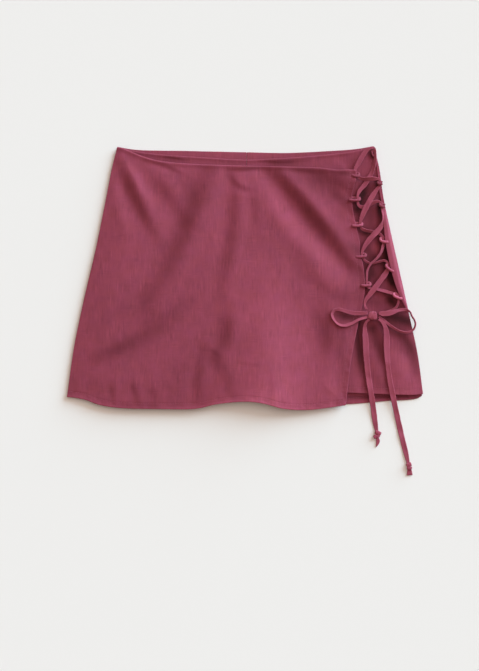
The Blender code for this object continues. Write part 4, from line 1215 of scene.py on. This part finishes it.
def stitch_rows(name, lines, context):
    """Rows of stitches along lines on the cloth, as one mesh."""
    sizes = context.scene.skort_sizes
    length, gap, radius = sizes.stitch_length / MM, sizes.stitch_gap / MM, sizes.thread / MM / 2
    angles = ring_angles(STITCH_SIDES)
    verts, faces = [], []
    for line in lines:
        travelled = travelled_along(line)
        starts = (np.arange(int(travelled[-1] / (length + gap))) + STITCH_START) * (length + gap)
        ends = [
            np.column_stack([np.interp(starts + shift, travelled, axis) for axis in line.T])
            for shift in (0.0, length)
        ]
        for start, end in zip(*ends):
            along = unit(end - start)
            side = unit(np.cross(along, (0.0, 0.0, 1.0)))
            up = np.cross(side, along)
            faces += ring_faces(len(STITCH_PROFILE), STITCH_SIDES, len(verts))
            for share, size, rise in STITCH_PROFILE:
                middle = start + (end - start) * share + up * rise * radius
                verts.extend(
                    middle + size * radius * (math.cos(angle) * side + math.sin(angle) * up)
                    for angle in angles
                )
    thread = thread_material(context.scene.skort_colours.thread)
    return add_piece(name, mesh_from(name, verts, faces), thread)


# ---------------------------------------------------------------------------
# The cloth's forms
# ---------------------------------------------------------------------------

def side_edge(rows, waist, hem, shares):
    """A side seam's line from the waist down, slid at both ends to meet the waist and the hem."""
    line = spaced(between(smooth_line(rows), 1, hem[1], waist[1])[::-1], shares)
    return line + (waist - line[0]) + shares[:, None] * ((hem - line[-1]) - (waist - line[0]))


SEAM_SAMPLES = 200          # points down the centre seam
INSEAM_SAMPLES = 60         # points down the inseam


def inner_edge(seam_x, waist, hem, shares):
    """The centre seam down to the crotch, then the inseam down to the leg's hem."""
    crotch = np.array([seam_x, CROTCH_Y, waist[2]])
    line = np.vstack([
        np.linspace([seam_x, waist[1], waist[2]], crotch, SEAM_SAMPLES),
        np.linspace(crotch, hem, INSEAM_SAMPLES)[1:],
    ])
    return spaced(line, shares)


# Rough sizes of the cloths, which say how many mesh faces each one gets.
SHORTS_WIDTH = 250.0
OVERLAY_WIDTH = 400.0
CLOTH_LENGTH = 350.0


def shorts_grid(waist_rows, hem_rows, side_rows, base, direction, step):
    """Upper side of one quarter of the shorts. Direction is -1 for the left quarter and 1 for the right."""
    across, down = graded(SHORTS_WIDTH, step, 0.5), graded(CLOTH_LENGTH, step)
    outer_end, inner_end = (0, -1) if direction < 0 else (-1, 0)
    seam_x = CENTRE_SEAM_X + direction * SEAM_GAP / 2
    leg_x = CENTRE_SEAM_X + direction * LEG_PARTING
    waist, hem = (
        between(smooth_line(rows), 0, *sorted((rows[outer_end].x, inner_x)))
        for rows, inner_x in ((waist_rows, seam_x), (hem_rows, leg_x))
    )
    outer = side_edge(side_rows, waist[outer_end], hem[outer_end], down)
    inner = inner_edge(seam_x, waist[inner_end], hem[inner_end], down)
    left, right = (outer, inner) if direction < 0 else (inner, outer)
    grid = patch(spaced(waist, across), spaced(hem, across), left, right, across, down)
    grid[:, :, 2] = base + CLOTH + grid[:, :, 2] * ease(1 - (1 - down[:, None]) / HEM_LIFT_SHARE)
    return grid


def places_of(grid, sides, shift=0.0):
    """Where each grid point lies on the flat cloth, with its distance from the stitched sides, if any."""
    places = grid.copy()
    places[:, :, 0] += shift
    distances = [side_distance(grid, side) for side in sides]
    places[:, :, 2] = np.min(distances, axis=0) if distances else FAR_FROM_HEM
    return places


def overlay_grid(step, depth):
    """Upper side of the front overlay with its folds, creases and sewn edges, and its painted light and
    shade.
    """
    across, down = graded(OVERLAY_WIDTH, step), graded(CLOTH_LENGTH, step)
    grid = patch(
        spaced(smooth_line(OVERLAY_WAIST), across),
        spaced(smooth_line(OVERLAY_HEM), across),
        spaced(smooth_line(LEFT_SIDE), down),
        spaced(smooth_line(OVERLAY_FREE_EDGE), down),
        across, down,
    )
    from_side = grid[:, :, 0] - grid[:, :1, 0]
    from_lace = ease((grid[:, -1:, 0] - grid[:, :, 0]) / LACE_SIDE_REACH)
    roll = SIDE_ROLL * (1 - np.exp(-from_side / SIDE_ROLL_REACH)) * from_lace
    inside = np.min([side_distance(grid, side) for side in ("waist", "hem", "left", "right")], axis=0)
    points = grid.reshape(-1, 3)
    lift, tone = folds_lift(points, {**OVERLAY_FOLDS, **SHARED_FOLDS})
    lift += 0.30 * soft_noise(points[:, 0], points[:, 1], 34.0, 60.0, 3)
    lift += 0.12 * soft_noise(points[:, 0], points[:, 1], 9.0, 22.0, 5)
    lift = lift.reshape(inside.shape) + OVERLAY_RISE * ease(inside / OVERLAY_RISE_REACH) + roll
    lift += rim(side_distance(grid, "waist"), 1.4, 4.5)
    lift += hem_relief(grid, "hem", depth, 21)
    # Painted highlight along the overlay's rolled hem.
    tone += HEM_PAINTED_LIGHT * np.exp(-(side_distance(grid, "hem").ravel() / 3.5) ** 2)
    lift += hem_relief(grid, "right", 0.8 * depth, 27, 0.44)
    grid[:, :, 2] = np.maximum(grid[:, :, 2] + OVERLAY_BASE + CLOTH + lift, OVERLAY_BASE + CLOTH)
    return grid, tone


# ---------------------------------------------------------------------------
# Operators
# ---------------------------------------------------------------------------

CAMERA_MIDDLE = (-7.1, -81.65)      # millimetres
CAMERA_HEIGHT = 3.0                 # metres, as the two below
PICTURE_HEIGHT = 0.9528             # how much of the floor the picture shows from top to bottom
CLIP_END = 20.0
SENSOR = 36.0


class SKORT_OT_camera(bpy.types.Operator):
    """Add the camera straight above the skort"""

    bl_idname = "skort.camera"
    bl_label = "Camera"

    def execute(self, context):
        camera = bpy.data.cameras.new("Camera")
        camera.sensor_width = SENSOR
        camera.lens = SENSOR * CAMERA_HEIGHT / PICTURE_HEIGHT
        camera.clip_end = CLIP_END
        obj = bpy.data.objects.new("Camera", camera)
        obj.location = (CAMERA_MIDDLE[0] * MM, CAMERA_MIDDLE[1] * MM, CAMERA_HEIGHT)
        context.scene.collection.objects.link(obj)
        context.scene.camera = obj
        return {"FINISHED"}


class SKORT_OT_knots(bpy.types.Operator):
    """Add the bow's knot, the two end knots and the cut ends"""

    bl_idname = "skort.knots"
    bl_label = "Knots"

    def execute(self, context):
        sizes, material = context.scene.skort_sizes, linen(context, "lace")
        knots = {
            "knot_bow": (BOW_KNOT, "bow_knot"),
            "knot_short": (END_KNOT_SHORT, "end_knot_short"),
            "knot_long": (END_KNOT_LONG, "end_knot_long"),
        }
        for number, (name, (wraps, node)) in enumerate(knots.items()):
            mesh = linen_mesh(name, *wrap_mesh(wraps, number))
            add_piece(name, mesh, material, (node,))
        tape_piece("cut_end_short", TIP_SHORT, material, sizes, ("tip_short",), 1)
        tape_piece("cut_end_long", TIP_LONG, material, sizes, ("tip_long",), 2)
        return {"FINISHED"}


class SKORT_OT_lace(bpy.types.Operator):
    """Add the lace's two zigzag runs, the bow's loops and the tails"""

    bl_idname = "skort.lace"
    bl_label = "Lace and bow"

    def execute(self, context):
        sizes, material = context.scene.skort_sizes, linen(context, "lace")
        objects = bpy.data.objects
        runs = {
            "lace_run_a": (LACE_A, "lace_a", "knot", [objects["knot_bow"]]),
            "lace_run_b": (LACE_B, "lace_b", "object", []),
            "bow_left": (BOW_LOOP_LEFT, "bow_loop_left", "object", []),
            "bow_right": (BOW_LOOP_RIGHT, "bow_loop_right", "object", []),
            "lace_tail_short": (
                TAIL_SHORT, "tail_short", "knot", [objects["knot_short"], objects["cut_end_short"]]
            ),
            "lace_tail_long": (
                TAIL_LONG, "tail_long", "knot", [objects["knot_long"], objects["cut_end_long"]]
            ),
        }
        for number, (name, (route, node, end, pieces)) in enumerate(runs.items()):
            obj, path = tape_piece(name, route, material, sizes, (node,), number + 3)
        return {"FINISHED"}


# How far each cloth's weave is shifted, so that no two of them look alike.
BACK_SHIFT = 700.0
FRONT_SHIFT = 1400.0
PLACKET_SHIFT = 900.0
SHORTS_STEP_SHARE = 1.5     # size of the shorts' mesh faces against the overlay's


class SKORT_OT_shorts(bpy.types.Operator):
    """Add the shorts' two backs and two fronts"""

    bl_idname = "skort.shorts"
    bl_label = "Shorts"

    def execute(self, context):
        sizes, material = context.scene.skort_sizes, linen(context, "shorts")
        step, depth = sizes.grid_step / MM * SHORTS_STEP_SHARE, sizes.hem_depth / MM
        quarters = (("left", -1, LEFT_SIDE, FRONT_LEFT_FOLDS), ("right", 1, RIGHT_SIDE, FRONT_RIGHT_FOLDS))
        lines = []
        for word, direction, side_rows, folds in quarters:
            back = shorts_grid(BACK_WAIST, BACK_HEM, side_rows, 0.0, direction, step)
            lift, tone = folds_lift(back.reshape(-1, 3), {**BACK_FOLDS, **SHARED_FOLDS})
            back[:, :, 2] += lift.reshape(back.shape[:2])
            places = places_of(back, ["hem"], BACK_SHIFT * direction)
            obj = cloth_piece(
                f"cloth_back_{word}", back, places, material, f"back_{word}", sizes, tone
            )
            front = shorts_grid(FRONT_WAIST, FRONT_HEM, side_rows, FRONT_BASE, direction, step)
            lift, tone = folds_lift(front.reshape(-1, 3), {**folds, **SHARED_FOLDS})
            lift = lift.reshape(front.shape[:2]) + rim(side_distance(front, "waist"), 1.1, 3.5)
            lift += 0.4 * hem_relief(front, "hem", depth, 40)
            front[:, :, 2] += np.maximum(lift, 0.0)
            places = places_of(front, ["hem"], FRONT_SHIFT * direction)
            obj = cloth_piece(
                f"cloth_front_{word}", front, places, material, f"front_{word}", sizes, tone
            )
            lines += [line_inside(layer, "hem", depth) for layer in (back, front)]
        stitch_rows("stitches_shorts", lines, context)
        return {"FINISHED"}


class SKORT_OT_overlay(bpy.types.Operator):
    """Add the front overlay"""

    bl_idname = "skort.overlay"
    bl_label = "Overlay"

    def execute(self, context):
        sizes, material = context.scene.skort_sizes, linen(context, "overlay")
        depth = sizes.hem_depth / MM
        grid, tone = overlay_grid(sizes.grid_step / MM, depth)
        places = places_of(grid, ["hem", "right"])
        obj = cloth_piece(
            "cloth_overlay", grid, places, material, "overlay", sizes, tone
        )
        lines = [line_inside(grid, side, depth) for side in ("hem", "right")]
        stitch_rows("stitches_overlay", lines, context)
        return {"FINISHED"}


PLACKET_CELLS = (150, 8)    # mesh faces down and across the placket
# Painted light: the placket's colour is made lighter, as its raised side catches the light.
PLACKET_PAINTED_LIGHT = 1.07


class SKORT_OT_placket(bpy.types.Operator):
    """Add the side placket"""

    bl_idname = "skort.placket"
    bl_label = "Side placket"

    def execute(self, context):
        sizes, material = context.scene.skort_sizes, linen(context, "overlay")
        rows, columns = PLACKET_CELLS
        seam = smooth_line(RIGHT_SIDE)[::-1]
        inner = spaced(smooth_line([(0.0, row.y, row.width, row.lift) for row in PLACKET]), rows)
        grid = np.zeros((rows + 1, columns + 1, 3))
        share = np.linspace(1.0, 0.0, columns + 1)
        for place, (_, y, width, lift) in zip(grid, inner):
            place[:, 0] = np.interp(y, seam[:, 1], seam[:, 0]) - width * share
            place[:, 1] = y
            place[:, 2] = OVERLAY_BASE + CLOTH + max(lift, 0.0) * ease(share / PLACKET_RISE)
        places = places_of(grid, [], PLACKET_SHIFT)
        obj = cloth_piece(
            "cloth_placket", grid, places, material, "side_placket", sizes, PLACKET_PAINTED_LIGHT
        )
        return {"FINISHED"}


LOOP_POINTS = 14            # points round a loop's bend
LOOP_STEPS = 40
CORNER_LOOP_STEPS = 30
LOOP_FOOT = 0.6             # share of its spread and height that a loop has left where it is sewn in
LOOP_LEG = 0.4              # share of the way to the bend at which a loop's legs are spread


class SKORT_OT_loops(bpy.types.Operator):
    """Add the button loops on both edges and at the top corner"""

    bl_idname = "skort.loops"
    bl_label = "Button loops"

    def execute(self, context):
        sizes, material = context.scene.skort_sizes, linen(context, "lace")
        radius = sizes.loop_cord / MM / 2
        for name, loop in LOOPS.items():
            base, tip = np.array([loop.base_x, loop.base_y]), np.array([loop.tip_x, loop.tip_y])
            along = unit(tip - base)
            beside = np.array([along[1], -along[0]]) * (1.0 if along[0] > 0 else -1.0) * loop.spread
            bow = (loop.high - loop.low) / 2
            middle = loop.low + bow
            bend = tip - along * (bow + radius)
            leg = base * (1 - LOOP_LEG) + bend * LOOP_LEG
            points = [
                (*(base - beside * LOOP_FOOT), middle - LOOP_FOOT * bow),
                (*(leg - beside), loop.low),
            ]
            for angle in np.linspace(-math.pi / 2, math.pi / 2, LOOP_POINTS):
                out, up = bow * math.cos(angle), math.sin(angle)
                points.append((*(bend + along * out + beside * up), middle + bow * up))
            points += [
                (*(leg + beside), loop.high),
                (*(base + beside * LOOP_FOOT), middle + LOOP_FOOT * bow),
            ]
            line = spaced(smooth_line(points), LOOP_STEPS, 3)
            cord_piece(f"button_{name}", line, radius, loop.tone, material, name)
        corner = [(x, y, CORNER_LOOP_Z) for x, y in CORNER_LOOP]
        line = spaced(smooth_line(corner), CORNER_LOOP_STEPS, 3)
        cord_piece("button_loop_corner", line, CORNER_LOOP_CORD / 2, 1.0, material, "loop_corner")
        return {"FINISHED"}


# Metres. The floor lies just below the cloth, so that their faces don't fight.
FLOOR_HALF = 10.0
FLOOR_Z = -0.0003
LIGHT_DISTANCE = 3.0
WORLD_COLOUR = (1.08, 0.82, 0.66, 1.0)
WORLD_STRENGTH = 0.34

# Degrees from +X, above the floor and across the light's disc, then strength and colour.
Sun = namedtuple("Sun", "azimuth elevation spread strength colour")
SUNS = {
    "Key": Sun(42.0, 13.0, 52.0, 6.9, (0.62, 0.87, 1.02)),
    "Fill": Sun(60.0, 66.0, 60.0, 1.12, (1.0, 0.90, 0.82)),
}


class SKORT_OT_stage(bpy.types.Operator):
    """Add the floor and the soft studio light"""

    bl_idname = "skort.stage"
    bl_label = "Stage"

    def execute(self, context):
        colour = context.scene.skort_colours.floor
        material, _, shader = new_material(
            "Studio floor", colour, {"Roughness": 0.95, "Specular IOR Level": 0.1}
        )
        shader.inputs["Base Color"].default_value = (*colour, 1.0)
        corners = [(-1, -1), (1, -1), (1, 1), (-1, 1)]
        mesh = bpy.data.meshes.new("Floor")
        mesh.from_pydata([(x * FLOOR_HALF, y * FLOOR_HALF, 0.0) for x, y in corners], [], [(0, 1, 2, 3)])
        mesh.materials.append(material)
        floor = bpy.data.objects.new("Floor", mesh)
        floor.location.z = FLOOR_Z
        context.scene.collection.objects.link(floor)

        for name, sun in SUNS.items():
            light = bpy.data.lights.new(name, "SUN")
            light.angle = math.radians(sun.spread)
            light.energy = sun.strength
            light.color = sun.colour
            high, around = math.radians(sun.elevation), math.radians(sun.azimuth)
            level = math.cos(high)
            towards = Vector((level * math.cos(around), level * math.sin(around), math.sin(high)))
            obj = bpy.data.objects.new(name, light)
            obj.location = towards * LIGHT_DISTANCE
            obj.rotation_euler = towards.to_track_quat("Z", "Y").to_euler()
            context.scene.collection.objects.link(obj)

        world = bpy.data.worlds.new("Studio")
        context.scene.world = world
        world.use_nodes = True
        background = world.node_tree.nodes["Background"]
        background.inputs["Color"].default_value = WORLD_COLOUR
        background.inputs["Strength"].default_value = WORLD_STRENGTH
        context.scene.view_settings.view_transform = "Standard"
        return {"FINISHED"}


class SKORT_PT_panel(bpy.types.Panel):
    """Lists the steps that dress the skort."""

    bl_idname = "SKORT_PT_panel"
    bl_label = "Laced skort"
    bl_space_type = "VIEW_3D"
    bl_region_type = "UI"
    bl_category = "Skort"

    def draw(self, context):
        for name in STEPS:
            self.layout.operator(name)
        for group in (context.scene.skort_sizes, context.scene.skort_colours):
            for name in group.__annotations__:
                self.layout.prop(group, name)


STEPS = (
    "skort.camera",
    "skort.stage",
    "skort.knots",
    "skort.lace",
    "skort.shorts",
    "skort.overlay",
    "skort.placket",
    "skort.loops",
)

CLASSES = (
    SkortSizes,
    SkortColours,
    SKORT_OT_camera,
    SKORT_OT_stage,
    SKORT_OT_knots,
    SKORT_OT_lace,
    SKORT_OT_shorts,
    SKORT_OT_overlay,
    SKORT_OT_placket,
    SKORT_OT_loops,
    SKORT_PT_panel,
)


def register():
    for part in CLASSES:
        bpy.utils.register_class(part)
    bpy.types.Scene.skort_sizes = PointerProperty(type=SkortSizes)
    bpy.types.Scene.skort_colours = PointerProperty(type=SkortColours)


def unregister():
    del bpy.types.Scene.skort_colours
    del bpy.types.Scene.skort_sizes
    for part in reversed(CLASSES):
        bpy.utils.unregister_class(part)


def main():
    """Build every piece in order."""
    register()
    for step in STEPS:
        group, name = step.split(".")
        getattr(getattr(bpy.ops, group), name)()


if __name__ == "__main__":
    main()
